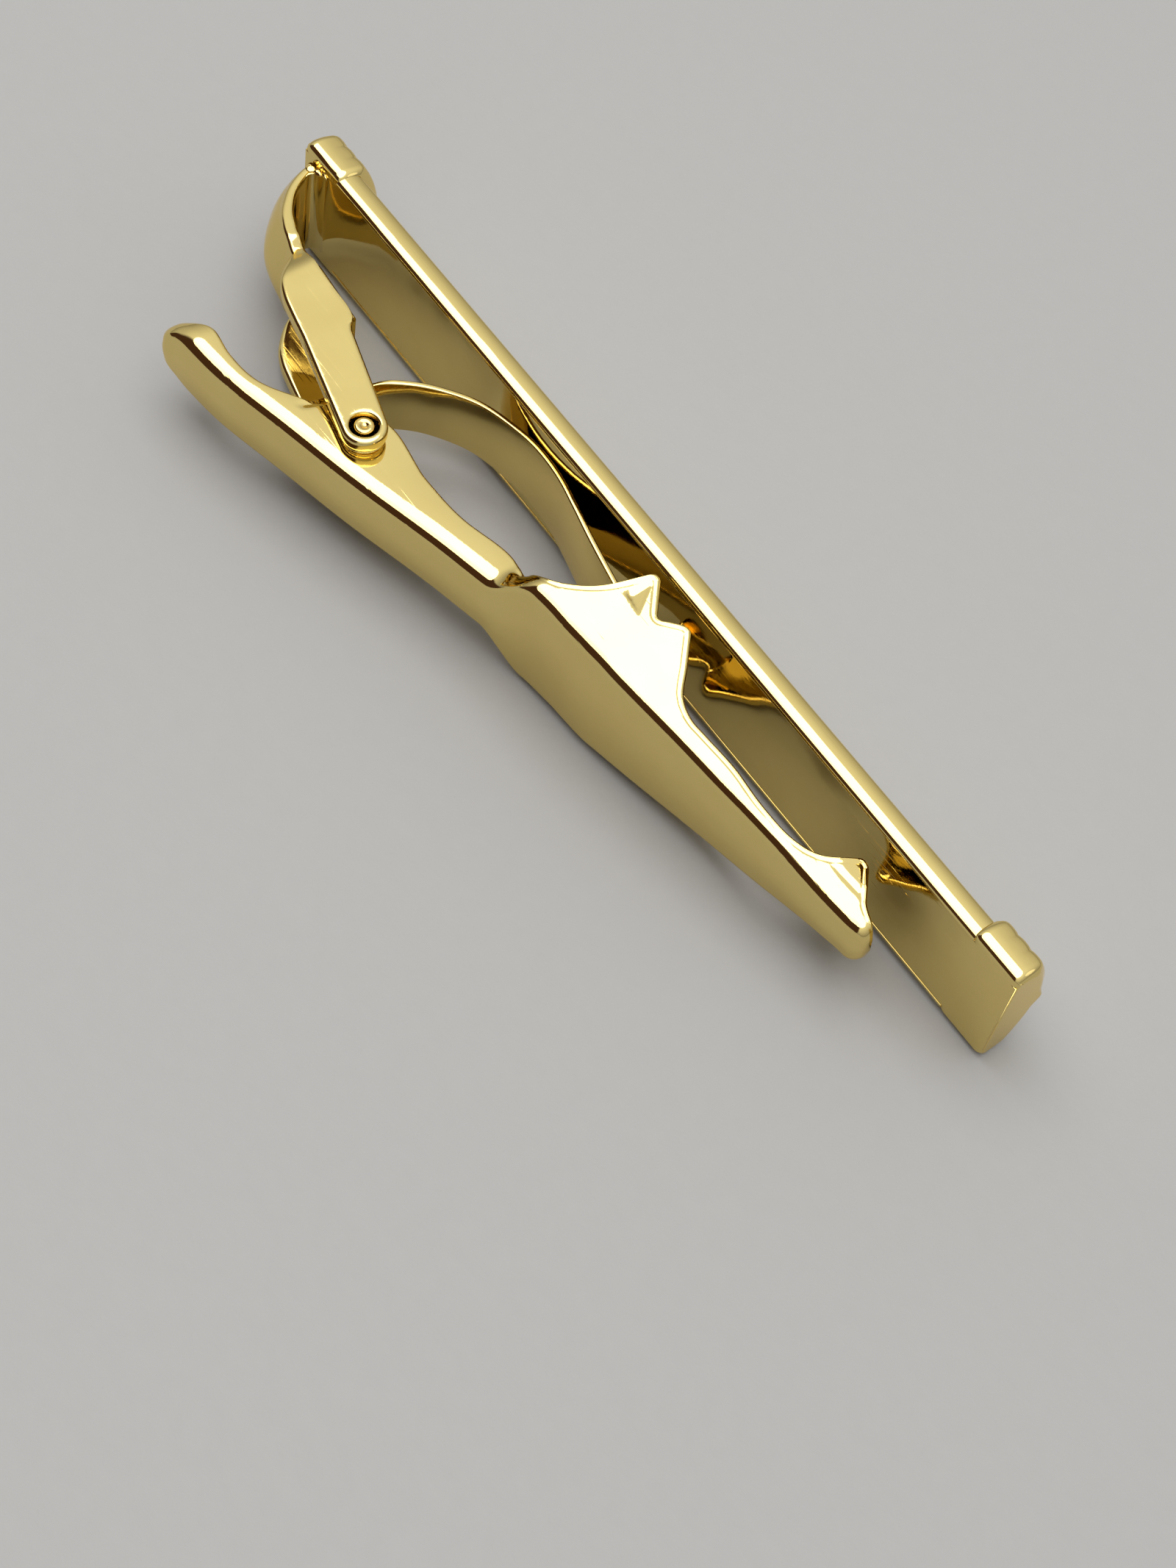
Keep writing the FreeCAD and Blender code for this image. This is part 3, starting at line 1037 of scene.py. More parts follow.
    def build(self) -> None:
        """Builds the strip and the solder and puts them in place of the bracket."""
        strip = MeshParts()
        strip.add_loft(np.array(self._neck_rings() + self._web_rings()))
        foot_round, foot_inset = self.foot_rim
        side = self.neck_half - foot_inset
        strip.add_prism(self._foot(), (-side, side), foot_round, Axis.Z, 2)
        for face in (1.0, -1.0):
            self._add_ear(strip, face)
        piece = strip.piece("bracket_strip")
        dress(piece, SATIN)
        seat(piece, "bar", "bracket")

        solder = MeshParts()
        for lump in self.lumps:
            solder.add_loft(lump.rings())
        beads = solder.piece("bracket_solder")
        dress(beads, BRASS)
        seat(beads, "bar")

    def _foot(self) -> np.ndarray:
        """Draws the solder inside the foot.

        Returns:
            Counter-clockwise outline in plan.
        """
        start, pull, end = (np.array(point) for point in self.foot)
        t = np.linspace(0.0, 1.0, 15)[:, None]
        hollow = (1 - t) ** 2 * start + 2 * t * (1 - t) * pull + t ** 2 * end
        return counter_clockwise(np.vstack([hollow, self.foot_back]))

    def _neck_rings(self) -> list[np.ndarray]:
        """Draws the neck from the foot to the web.

        Returns:
            Rings of points.
        """
        rings = []
        for turn in np.linspace(180.0, 270.0, 49):
            out = direction(turn)
            share = (turn - 180.0) / 90.0
            inner, thick = (np.interp(share, self.shares, sizes) for sizes in (self.inner, self.edge))
            swell = self.swell * (1 - ease((share - self.swell_from) / (1 - self.swell_from)))
            half = self.neck_half - self.valley * ease((share - self.valley_from) / (1 - self.valley_from))
            rings.append(self._strip_ring(np.array(self.centre) + inner * out, out, thick, swell, half))
        return rings

    def _web_rings(self) -> list[np.ndarray]:
        """Draws the web, which turns from the neck's end to square across its run.

        Returns:
            Rings of points.
        """
        start, end = np.array(self.centre) + (0.0, -self.inner[-1]), np.array(self.web_end)
        along = (end - start) / np.linalg.norm(end - start)
        square = np.array([along[1], -along[0]])
        widens, widens_run = self.web_widens
        rings = []
        for share in np.linspace(0.04, 1.0, 25):
            blend = ease(share * self.web_turn)
            lean = (1 - blend) * np.array([0.0, -1.0]) + blend * square
            half = self.neck_half - self.valley * (1 - ease((share - widens) / widens_run))
            out = lean / np.linalg.norm(lean)
            rings.append(self._strip_ring(start + (end - start) * share, out, self.web_thickness, 0.0, half))
        return rings

    def _strip_ring(
        self, point: np.ndarray, out: np.ndarray, thick: float, swell: float, half: float
    ) -> np.ndarray:
        """Returns one ring round the strip.

        Args:
            point: Plan point on the inner face.
            out: Outward direction in plan.
            thick: Thickness at the edges.
            swell: Extra thickness at mid-width.
            half: Half width.

        Returns:
            Ring points.
        """
        r = min(self.strip_round, self.round_share * thick)
        across = np.linspace(-1.0, 1.0, 21)
        inner = np.column_stack([np.zeros(len(across)), across * (half - r)])
        top = np.vstack([arc((r, half - r), r, 180, 90, 6), arc((thick - r, half - r), r, 90, 0, 6)])
        bulge = thick + swell * (1 - across ** 2) ** self.swell_power
        outer = np.column_stack([bulge, across * (half - r)])[::-1]
        low = top[::-1] * np.array([1.0, -1.0])
        loop = np.vstack([inner[:-1], top, outer[1:-1], low[:-1]])
        return np.column_stack([point + loop[:, :1] * out, loop[:, 1]])

    def _ear_outline(self) -> np.ndarray:
        """Draws one ear.

        Returns:
            Counter-clockwise outline in plan.
        """
        left, right = self._tangent(self.ear_left[-1], 1.0), self._tangent(self.ear_right[0], -1.0)
        nose = arc(PIVOT, self.ear_radius, left, right, 40)
        walk = np.vstack([smooth_line(self.ear_left, 10), nose, smooth_line(self.ear_right, 10)])
        return even_steps(walk, self.ear_step)[:-1]

    def _tangent(self, start: Plan, side: float) -> float:
        """Finds where a line from a point touches the ear's end.

        Args:
            start: Plan point.
            side: 1 for the thumb side, -1 for the bar's side.

        Returns:
            Angle in degrees.
        """
        dx, dy = start[0] - PIVOT[0], start[1] - PIVOT[1]
        lean = math.degrees(math.acos(self.ear_radius / math.hypot(dx, dy)))
        angle = math.degrees(math.atan2(dy, dx)) + side * lean
        return angle if side > 0 else angle + 360.0

    def _add_ear(self, parts: MeshParts, side: float) -> None:
        """Adds one ear with its countersunk hole.

        Args:
            parts: Shells so far.
            side: 1 for the upper ear, -1 for the lower.
        """
        low, high = self.half - self.ear_thickness, self.half
        flats, levels = self._ear_flats(low, high)
        bore = self._bore(low, high)
        rings = [arc(PIVOT, radius, 0, 360, 64)[:-1] for radius, _ in bore]

        def place(flat: np.ndarray, height: float) -> np.ndarray:
            """Places plan points at a height, sunk towards the neck.

            Args:
                flat: Plan points.
                height: Height before sinking.

            Returns:
                Points of the ear.
            """
            sunk = self.nose_drop * (1 - ease((flat[:, 0] - self.nose[0]) / (self.nose[1] - self.nose[0])))
            z = height - sunk * (height - low) / (high - low)
            return np.column_stack([flat, side * z])

        for runs, heights in ((flats, levels), (rings, [height for _, height in bore])):
            walls = [place(run, height) for run, height in zip(runs, heights)]
            parts.add_loft(np.array(walls), capped=False)
        for flat, ring, height in ((flats[0], rings[0], low), (flats[-1], rings[-1], high)):
            points, faces = filled(flat, ring, self.ear_pitch)
            parts.add(place(points, height), faces)

    def _ear_flats(self, low: float, high: float) -> tuple[list[np.ndarray], list[float]]:
        """Returns an ear's outline at each height of its rim, and the heights.

        Args:
            low: Height of the inner face.
            high: Height of the outer face.

        Returns:
            Outlines in plan, and heights.
        """
        outline = self._ear_outline()
        drawn = inset(outline, 1.0) - outline
        # The rim is soft on the thumb side and crisp along the web.
        x, y = outline.T
        beyond = y - self.crisp_from[1] + self.crisp_fall * (x - self.crisp_from[0])
        by_web = ease(beyond / self.crisp_run) * (x < self.crisp_to)
        levels = rim_levels(low, high, self.rim, 6)
        flats = [outline + drawn * (draw * (1 - self.crisp * by_web))[:, None] for draw, _ in levels]
        return flats, [height for _, height in levels]

    def _bore(self, low: float, high: float) -> list[Plan]:
        """Draws the hole and its countersink from the inner face out.

        Args:
            low: Height of the inner face.
            high: Height of the outer face.

        Returns:
            Radius and height of each step.
        """
        lip = self.sink_lip
        neck = self.sink - self.sink_neck
        walls = [(self.hole, low), (self.hole, high - self.sink_depth), (neck, high - lip)]
        soft = [(math.cos(a), math.sin(a)) for a in np.radians(np.linspace(15, 90, 6))]
        return walls + [(self.sink + lip - self.sink_soft * c, high - lip + lip * s) for c, s in soft]


# The lever


@dataclass(frozen=True)
class Stations:
    """The channel's measures at each station along it.

    Attributes:
        x: Plan x outside.
        edge: Plan y of the flange's edge.
        half: Half width outside.
        level: Half width where the bend ends in the flange.
        back: Plan y of the back at mid-width.
        drop: How far the back falls towards the bend.
        bend: Plan y where the bend ends.
        run: Length of the bend in y.
        rise: Height of the bend in z.
        rim: Radius of the flange's rim.
        inner_x: Plan x inside.
        inner_edge: Plan y of the edge inside.
        inner_back: Plan y of the back inside.
        inner_half: Half width inside.
        corner: Radius of the corner inside.
        lean: How much the flange splays per millimetre.
        in_jaw: 0 on the thumb side, 1 in the jaw.
        tail: 1 along the lever, 0 at the jaw's tip.
        tooth: 1 at the last tooth, 0 away from it.
    """

    x: np.ndarray
    edge: np.ndarray
    half: np.ndarray
    level: np.ndarray
    back: np.ndarray
    drop: np.ndarray
    bend: np.ndarray
    run: np.ndarray
    rise: np.ndarray
    rim: np.ndarray
    inner_x: np.ndarray
    inner_edge: np.ndarray
    inner_back: np.ndarray
    inner_half: np.ndarray
    corner: np.ndarray
    lean: np.ndarray
    in_jaw: np.ndarray
    tail: np.ndarray
    tooth: np.ndarray

    def span(self) -> np.ndarray:
        """Returns the flange's height from the bend to its rim."""
        return np.maximum(self.edge - self.rim - self.bend, 0.0)

    def outer(self, y: np.ndarray, z: np.ndarray) -> np.ndarray:
        """Returns one line of points along the outside."""
        return np.column_stack([self.x, y, z])

    def inner(self, y: np.ndarray, z: np.ndarray) -> np.ndarray:
        """Returns one line of points along the inside."""
        return np.column_stack([self.inner_x, y, z])


@dataclass
class Lever:
    """The channel pressed from sheet: thumb end, pivot lugs, crimp and toothed jaw.

    Outlines are shares: the first number of the thumb's or the jaw's length from
    the pivot, the second of the pivot's distance from the back plate.

    Attributes:
        thumb: Length from the pivot to the thumb end.
        jaw: Length from the pivot to the jaw's tip.
        sheet: Thickness of the sheet.
        lug: Height of the pivot lug over the pivot.
        lug_shoulder: Height of its shoulder.
        bend_rise: Height of the bend from back to flange.
        bend_run: Length of the bend.
        bend_open: How much wider the bend's round is by the flange.
        bend_meet: Angle at which the tight round runs into the wide one.
        bend_share: Most of the flange or half width that the bend takes.
        rim: Radius of the flange's rim.
        rim_share: Most of the flange's depth, and of the sheet, that it takes.
        corner: Radius of the corner inside.
        corner_share: Most of the inside's depth, and of its half width, that it takes.
        inner_follow: Share of the edge's draw-in that the inside follows.
        crown: How far the back falls from mid-width to the bend.
        crown_half: Half width at which it falls in full.
        splay: How much the jaw's flanges open per millimetre.
        bow: How far the thumb's flanges draw in at their edge.
        flute: Depth of the fine line above the bend.
        flute_at: Its height over the bend and its half width.
        tooth_lean: How much the last tooth leans in per millimetre.
        tooth_from: Height from which it leans.
        groove: Depth of the soft groove under it.
        groove_at: Its height over the bend and its half width.
        rim_line: Depth of the fine line inside the jaw's edge.
        rim_inset: Distance of that line from the edge.
        rim_width: Half width of that line.
        thumb_half: Half width on the thumb side.
        jaw_half: Half width of the jaw.
        tip_half: Half width at the tip.
        thumb_round: Length over which the thumb end closes.
        tip_round: Length over which the tip closes.
        end_room: Length over which the inside stops short of the ends.
        crimp: Share of the jaw where it widens, and over how much of it.
        taper: Share of the jaw where it starts to taper, and over how much of it.
        jaw_start: Share of the jaw where its flange begins.
        jaw_run: Length over which it begins.
        tail_run: Length over which its form fades at the tip.
        tooth_place: Share of the jaw where the last tooth is.
        tooth_reach: Reach of its form to either side.
        pinch: Depth, share of the jaw and half width of the crimp's dent.
        pinch_fade: How it grows up the flange: slope and start.
        notch: Depth, share of the thumb and half width of the lug's dent.
        notch_fade: How it grows up the flange: slope and start.
        stake_slope: Depth of the stake mark at its side and its slope.
        stake_reach: Distance over which it slopes.
        stake_soft: How far its rim begins outside, and over what length.
        low_steps: Heights of the rows by the bend.
        high_steps: Distances from the edge of the rows by the rim.
        middle: Where the even rows begin over the bend and end under the edge.
        middle_rows: Count of the even rows.
        thumb_back: Back of the thumb side.
        jaw_back: Back of the jaw side.
        thumb_end: Rounded thumb end.
        thumb_edge: Flange's edge on the thumb side.
        lead: Flange's edge from the lug to the first tooth.
        teeth: The first two teeth.
        waist: Flange's edge from the teeth to the last tooth.
        tip: The last tooth and the tip.
        stake: Corners of the stake mark on the first tooth.
    """

    thumb: float = 11.36
    jaw: float = 34.2
    sheet: float = 0.5
    lug: float = 1.6
    lug_shoulder: float = 0.8
    bend_rise: float = 0.66
    bend_run: float = 0.95
    bend_open: float = 2.4
    bend_meet: float = 26.0
    bend_share: float = 0.62
    rim: float = 0.2
    rim_share: Plan = (0.16, 0.42)
    corner: float = 0.45
    corner_share: Plan = (0.4, 0.5)
    inner_follow: float = 0.9
    crown: float = 0.1
    crown_half: float = 2.0
    splay: float = 0.06
    bow: float = 0.10
    flute: float = 0.004
    flute_at: Plan = (0.14, 0.08)
    tooth_lean: float = 0.15
    tooth_from: float = 0.8
    groove: float = 0.035
    groove_at: Plan = (0.55, 0.2)
    rim_line: float = 0.014
    rim_inset: float = 0.3
    rim_width: float = 0.06
    thumb_half: float = 2.0
    jaw_half: float = 3.8
    tip_half: float = 1.5
    thumb_round: float = 2.4
    tip_round: float = 0.85
    end_room: float = 2.5
    crimp: Plan = (0.286, 0.078)
    taper: Plan = (0.50, 0.465)
    jaw_start: float = 0.335
    jaw_run: float = 1.2
    tail_run: float = 3.0
    tooth_place: float = 0.925
    tooth_reach: float = 1.2
    pinch: tuple[float, float, float] = (0.32, 0.312, 0.36)
    pinch_fade: Plan = (1.3, 0.2)
    notch: tuple[float, float, float] = (0.1, 0.268, 0.22)
    notch_fade: Plan = (1.6, 0.5)
    stake_slope: Plan = (0.02, 0.19)
    stake_reach: float = 0.95
    stake_soft: Plan = (0.03, 0.08)
    low_steps: tuple[float, ...] = (0.0, 0.08, 0.16, 0.24)
    high_steps: tuple[float, ...] = (0.23, 0.19, 0.15, 0.11, 0.07, 0.03, 0.0)
    middle: Plan = (0.34, 0.28)
    middle_rows: int = 30
    thumb_back: tuple[Plan, ...] = ((0.955, 1.642), (0.868, 1.628), (0.60, 1.582), (0.225, 1.44))
    jaw_back: tuple[Plan, ...] = (
        (0.045, 1.304), (0.194, 1.103), (0.305, 0.972), (0.361, 0.885), (0.50, 0.822), (0.677, 0.692),
        (0.829, 0.584), (0.955, 0.497), (0.984, 0.472), (0.995, 0.44))
    thumb_end: tuple[Plan, ...] = ((1.0, 1.58), (0.969, 1.495), (0.92, 1.45))
    thumb_edge: tuple[Plan, ...] = ((0.83, 1.36), (0.66, 1.381), (0.48, 1.338), (0.263, 1.105))
    lead: tuple[Plan, ...] = (
        (0.097, 0.817), (0.153, 0.81), (0.19, 0.788), (0.27, 0.692), (0.32, 0.722), (0.357, 0.706),
        (0.381, 0.602), (0.404, 0.437), (0.427, 0.09))
    teeth: tuple[Plan, ...] = (
        (0.427, 0.09), (0.438, 0.086), (0.484, 0.282), (0.49, 0.286), (0.515, 0.16), (0.526, 0.15))
    waist: tuple[Plan, ...] = (
        (0.526, 0.15), (0.565, 0.322), (0.60, 0.476), (0.63, 0.515), (0.656, 0.502), (0.715, 0.466),
        (0.779, 0.466), (0.834, 0.43), (0.872, 0.33), (0.904, 0.1))
    tip: tuple[Plan, ...] = ((0.904, 0.1), (0.916, 0.1), (0.957, 0.279), (0.984, 0.335), (1.0, 0.372))
    stake: tuple[Plan, ...] = ((0.431, 0.344), (0.437, 0.15), (0.469, 0.38))

    def build(self) -> None:
        """Builds and dresses the channel in place of the lever."""
        edge = self._edge_line()
        at = self._stations(edge, self._back_line())
        rows = self._back_rows(at) + self._flange_rows(at, edge) + self._inner_rows(at)
        top = np.array(rows)
        low = top[1:-1][::-1] * np.array([1.0, 1.0, -1.0])
        channel = MeshParts()
        channel.add_loft(np.transpose(np.concatenate([top, low]), (1, 0, 2)), capped=False)
        piece = channel.piece("lever_channel")
        dress(piece, BRUSHED)
        seat(piece, "lever", "lever")

    def _thumb(self, shares: Sequence[Plan]) -> list[Plan]:
        """Returns plan points from shares of the thumb side."""
        return [(PIVOT[0] - a * self.thumb, b * PIVOT[1]) for a, b in shares]

    def _jaw(self, shares: Sequence[Plan]) -> list[Plan]:
        """Returns plan points from shares of the jaw side."""
        return [(PIVOT[0] + a * self.jaw, b * PIVOT[1]) for a, b in shares]

    def _edge_line(self) -> np.ndarray:
        """Draws the flange's edge from the thumb end to the tip.

        Returns:
            Plan points at even steps.
        """
        px, py = PIVOT
        nose = smooth_line(self._thumb(self.thumb_end + self.thumb_edge))
        lead = self._jaw(self.lead)
        shoulder = (px - self.lug, py + self.lug_shoulder)
        lug = smooth_line([tuple(nose[-1]), shoulder, (px, py + self.lug), lead[0]])
        teeth, waist, tip = (self._jaw(shares) for shares in (self.teeth, self.waist, self.tip))
        line = even_steps(np.vstack([nose, lug, smooth_line(lead), teeth, smooth_line(waist), tip]), 0.05)
        # Corners are softened over seven steps.
        soft = np.ones(7) / 7
        line[3:-3] = np.column_stack([np.convolve(line[:, k], soft, "valid") for k in range(2)])
        line = even_steps(line, 0.13)
        line[:, 0] = np.maximum.accumulate(line[:, 0] + np.arange(len(line)) * 1e-6)
        return line

    def _back_line(self) -> np.ndarray:
        """Returns the back's line from the thumb end to the tip."""
        thumb = self._thumb(self.thumb_end[:1] + self.thumb_back)
        return smooth_line(thumb + self._jaw(self.jaw_back + self.tip[-1:]))

    def _half(self, x: np.ndarray, ends: Plan, less: float) -> np.ndarray:
        """Returns the half width along the lever.

        Args:
            x: Plan stations.
            ends: Where the thumb end and the tip close.
            less: Sheet taken off, 0 outside and the thickness inside.

        Returns:
            Half widths, closing to nothing at both ends.
        """
        share = (x - PIVOT[0]) / self.jaw
        (crimp, crimp_run), (taper, taper_run) = self.crimp, self.taper
        wide = self.thumb_half + (self.jaw_half - self.thumb_half) * ease((share - crimp) / crimp_run)
        wide = wide + (self.tip_half - self.jaw_half) * np.clip((share - taper) / taper_run, 0.0, 1.0)
        nose = np.clip((x - ends[0]) / self.thumb_round, 0.0, 1.0)
        tail = np.clip((ends[1] - x) / self.tip_round, 0.0, 1.0)
        close = np.sqrt(1 - (1 - nose) ** 2) * np.sqrt(1 - (1 - tail) ** 2)
        return np.maximum(wide - less, 0.0) * close

    def _stations(self, edge: np.ndarray, back: np.ndarray) -> Stations:
        """Returns the channel's measures at each point of its edge.

        Args:
            edge: Line of the flange's edge.
            back: Line of the back.

        Returns:
            The measures.
        """
        x, sheet, least = edge[:, 0], self.sheet, 0.02
        start, end = x[0], x[-1]
        near = back[np.argsort(back[:, 0], kind="stable")]
        from_ends = [np.clip(1 - off / self.end_room, 0, 1) for off in (x - start, end - x)]
        inner_x = x + sheet * (from_ends[0] - from_ends[1])
        (back_y, inner_back), (edge_y, inner_edge) = (
            [np.interp(at, line[:, 0], line[:, 1]) for at in (x, inner_x)] for line in (near, edge))
        inner_back = np.minimum(inner_back + sheet, inner_edge - least)
        half = self._half(x, (start, end), 0.0)
        inner_half = self._half(inner_x, (start + sheet, end - sheet), sheet)
        inner_half = np.minimum(inner_half, np.maximum(half - least, 0.0))
        deep = np.maximum(edge_y - back_y, 0.0)
        run = np.minimum(self.bend_run, self.bend_share * deep)
        of_depth, of_sheet = self.rim_share
        wall = np.maximum(half - inner_half, 0.0)
        rim = np.minimum(np.minimum(self.rim, of_depth * deep), of_sheet * wall)
        of_depth, of_half = self.corner_share
        corner = np.minimum(self.corner, of_depth * np.maximum(inner_edge - inner_back, 0.0))
        drop = self.crown * np.clip(half / self.crown_half, 0, 1)
        bend = back_y + drop + run
        in_jaw = ease((x - PIVOT[0] - self.jaw_start * self.jaw) / self.jaw_run)
        tail = ease((end - x) / self.tail_run)
        lean = self.splay * in_jaw * tail
        return Stations(
            x=x, edge=edge_y, half=half, level=half - lean * (edge_y - bend) / 2, back=back_y, drop=drop,
            bend=bend, run=run, rise=np.minimum(self.bend_rise, self.bend_share * half), rim=rim,
            inner_x=inner_x, inner_edge=inner_edge, inner_back=inner_back, inner_half=inner_half,
            corner=np.minimum(corner, of_half * inner_half), lean=lean, in_jaw=in_jaw, tail=tail,
            tooth=np.exp(-((x - PIVOT[0] - self.tooth_place * self.jaw) / self.tooth_reach) ** 2))

    def _bend(self) -> list[Plan]:
        """Draws the bend from back to flange, tight and then wide.

        Returns:
            Shares of the bend's length and height.
        """
        meet, wide = math.radians(self.bend_meet), self.bend_open
        close, open_out = np.linspace(90, self.bend_meet, 14), np.linspace(self.bend_meet, 0, 8)[1:-1]
        turns = np.concatenate([close, open_out])
        points = []
        for turn in np.radians(turns):
            broad, tight = min(turn, meet), max(turn, meet)
            run = wide * math.sin(broad) + math.sin(tight) - math.sin(meet)
            points.append((run, wide * (1 - math.cos(broad)) + math.cos(meet) - math.cos(tight)))
        run, rise = points[0]
        return [(y / run, 1 - z / rise) for y, z in points]

    def _dents(self, x: np.ndarray, y: np.ndarray, up: np.ndarray) -> np.ndarray:
        """Returns how far the flange is pressed in at a point.

        Args:
            x: Plan x.
            y: Plan y.
            up: Share of the way from the bend to the edge.

        Returns:
            Depths in millimetres.
        """
        corners = np.array(self._jaw(self.stake))
        depths = []
        for one, two in zip(corners, np.roll(corners, -1, 0)):
            run = two - one
            normal = np.array([-run[1], run[0]]) / np.linalg.norm(run)
            if np.dot(corners.mean(axis=0) - one, normal) < 0:
                normal = -normal
            depths.append((x - one[0]) * normal[0] + (y - one[1]) * normal[1])
        # The stake is a small facet, deepest at its inner corner and flush by the tooth's side.
        within = np.minimum(np.minimum(depths[0], depths[1]), depths[2])
        (least, slope), (soft, soft_run) = self.stake_slope, self.stake_soft
        floor = least + slope * np.clip(depths[1], 0.0, self.stake_reach)
        stake = floor * ease((within + soft) / soft_run)
        (deep, share, reach), (grow, start) = self.pinch, self.pinch_fade
        pinch = deep * np.exp(-((x - PIVOT[0] - share * self.jaw) / reach) ** 2) * ease(up * grow - start)
        (deep, share, reach), (grow, start) = self.notch, self.notch_fade
        notch = deep * np.exp(-((x - PIVOT[0] + share * self.thumb) / reach) ** 2) * ease(up * grow - start)
        return stake + pinch + notch

    def _edge_groove(self, x: np.ndarray, y: np.ndarray, edge: np.ndarray) -> np.ndarray:
        """Returns how deep the fine line inside the flange's edge is at a point.

        Args:
            x: Plan x.
            y: Plan y.
            edge: Line of the flange's edge.

        Returns:
            Depths in millimetres.
        """
        off = np.full(len(x), np.inf)
        for one, two in zip(edge[:-1], edge[1:]):
            run = two - one
            share = np.clip(((x - one[0]) * run[0] + (y - one[1]) * run[1]) / np.dot(run, run), 0.0, 1.0)
            off = np.minimum(off, np.hypot(x - one[0] - share * run[0], y - one[1] - share * run[1]))
        return self.rim_line * np.exp(-((off - self.rim_inset) / self.rim_width) ** 2)

    def _back_rows(self, at: Stations) -> list[np.ndarray]:
        """Draws the back from mid-width and round the bend.

        Args:
            at: Measures of the channel.

        Returns:
            Lines of points along the lever.
        """
        flat = at.level - at.rise
        rows = [at.outer(at.back + at.drop * f * f, f * flat) for f in np.linspace(0.0, 1.0, 8)[:-1]]
        for off, height in self._bend():
            rows.append(at.outer(at.bend - at.run * off, flat + at.rise * height))
        return rows

    def _flange_rows(self, at: Stations, edge: np.ndarray) -> list[np.ndarray]:
        """Returns the lines of points up the flange and over its rim.

        Args:
            at: Measures of the channel.
            edge: Line of the flange's edge.

        Returns:
            Lines of points along the lever.
        """
        span = at.span()
        pace = np.minimum(1.0, span)
        low, high = self.middle[0] * pace, span - self.middle[1] * pace
        places = [step * pace for step in self.low_steps]
        places += [low + (high - low) * f for f in np.linspace(0.0, 1.0, self.middle_rows)]
        places += [span - step * pace for step in self.high_steps]
        (flute_up, flute_half), (groove_up, groove_half) = self.flute_at, self.groove_at
        bow = self.bow * (1 - at.in_jaw) * np.minimum(span / 2.0, 1.0)
        rows = []
        for place in places:
            y, up = at.bend + place, place / np.maximum(span, 1e-6)
            flute = at.in_jaw * at.tail * self.flute * np.exp(-((place - flute_up) / flute_half) ** 2)
            groove = at.tooth * self.groove * np.exp(-((place - groove_up) / groove_half) ** 2)
            sunk = flute + groove + at.tooth * self.tooth_lean * np.maximum(place - self.tooth_from, 0.0)
            sunk = sunk + at.in_jaw * at.tail * self._edge_groove(at.x, y, edge)
            z = at.level + at.lean * place - sunk - bow * up ** 2 - self._dents(at.x, y, up)
            rows.append(at.outer(y, np.maximum(z, at.inner_half)))
        lip = self._lip(at)
        for a in np.radians(np.linspace(90, 0, 6)):
            z = at.half - lip - at.rim + at.rim * np.sin(a)
            rows.append(at.outer(at.edge - at.rim + at.rim * np.cos(a), z))
        return rows

    def _lip(self, at: Stations) -> np.ndarray:
        """Works out how far the flange's edge lies inside the half width.

        Args:
            at: Measures of the channel.

        Returns:
            Distances in millimetres.
        """
        span = at.span()
        dents = self._dents(at.x, at.edge, np.ones_like(at.x))
        bow = self.bow * (1 - at.in_jaw) * np.minimum(span / 2.0, 1.0)
        lip = dents - at.lean * span + bow + (at.half - at.level)
        return lip + at.tooth * self.tooth_lean * np.maximum(span - self.tooth_from, 0.0)

    def _inner_rows(self, at: Stations) -> list[np.ndarray]:
        """Draws the inside from the rim to mid-width.

        Args:
            at: Measures of the channel.

        Returns:
            Lines of points along the lever.
        """
        lip, rim, corner = self.inner_follow * self._lip(at), at.rim, at.corner
        half, foot = at.inner_half, at.inner_back + at.corner
        rows = []
        for a in np.radians(np.linspace(0, 90, 6)):
            rows.append(at.inner(at.inner_edge - rim + rim * np.cos(a), half - lip + rim - rim * np.sin(a)))
        for f in np.linspace(0.0, 1.0, 6)[1:]:
            y = at.inner_edge - rim + f * (foot - at.inner_edge + rim)
            rows.append(at.inner(y, half - lip * (1 - f)))
        for a in np.radians(np.linspace(90, 180, 6))[1:]:
            rows.append(at.inner(foot + corner * np.cos(a), half - corner + corner * np.sin(a)))
        for f in np.linspace(1.0, 0.0, 7)[1:]:
            rows.append(at.inner(at.inner_back, f * (half - corner)))
        return rows


# The pivot and the leaf


def poly_curve(name: str, points: Sequence[Place] | np.ndarray, closed: bool = False) -> bpy.types.Object:
    """Makes an object that holds one curve of straight steps.

    Args:
        name: Object name.
        points: Points in metres.
        closed: Joins the last point to the first.

    Returns:
        The linked object.
    """
    curve = bpy.data.curves.new(name, "CURVE")
    curve.dimensions = "3D"
    spline = curve.splines.new("POLY")
    spline.points.add(len(points) - 1)
    for point, spot in zip(spline.points, points):
        point.co = (*spot, 1.0)
    spline.use_cyclic_u = closed
    return put_in_scene(name, curve)


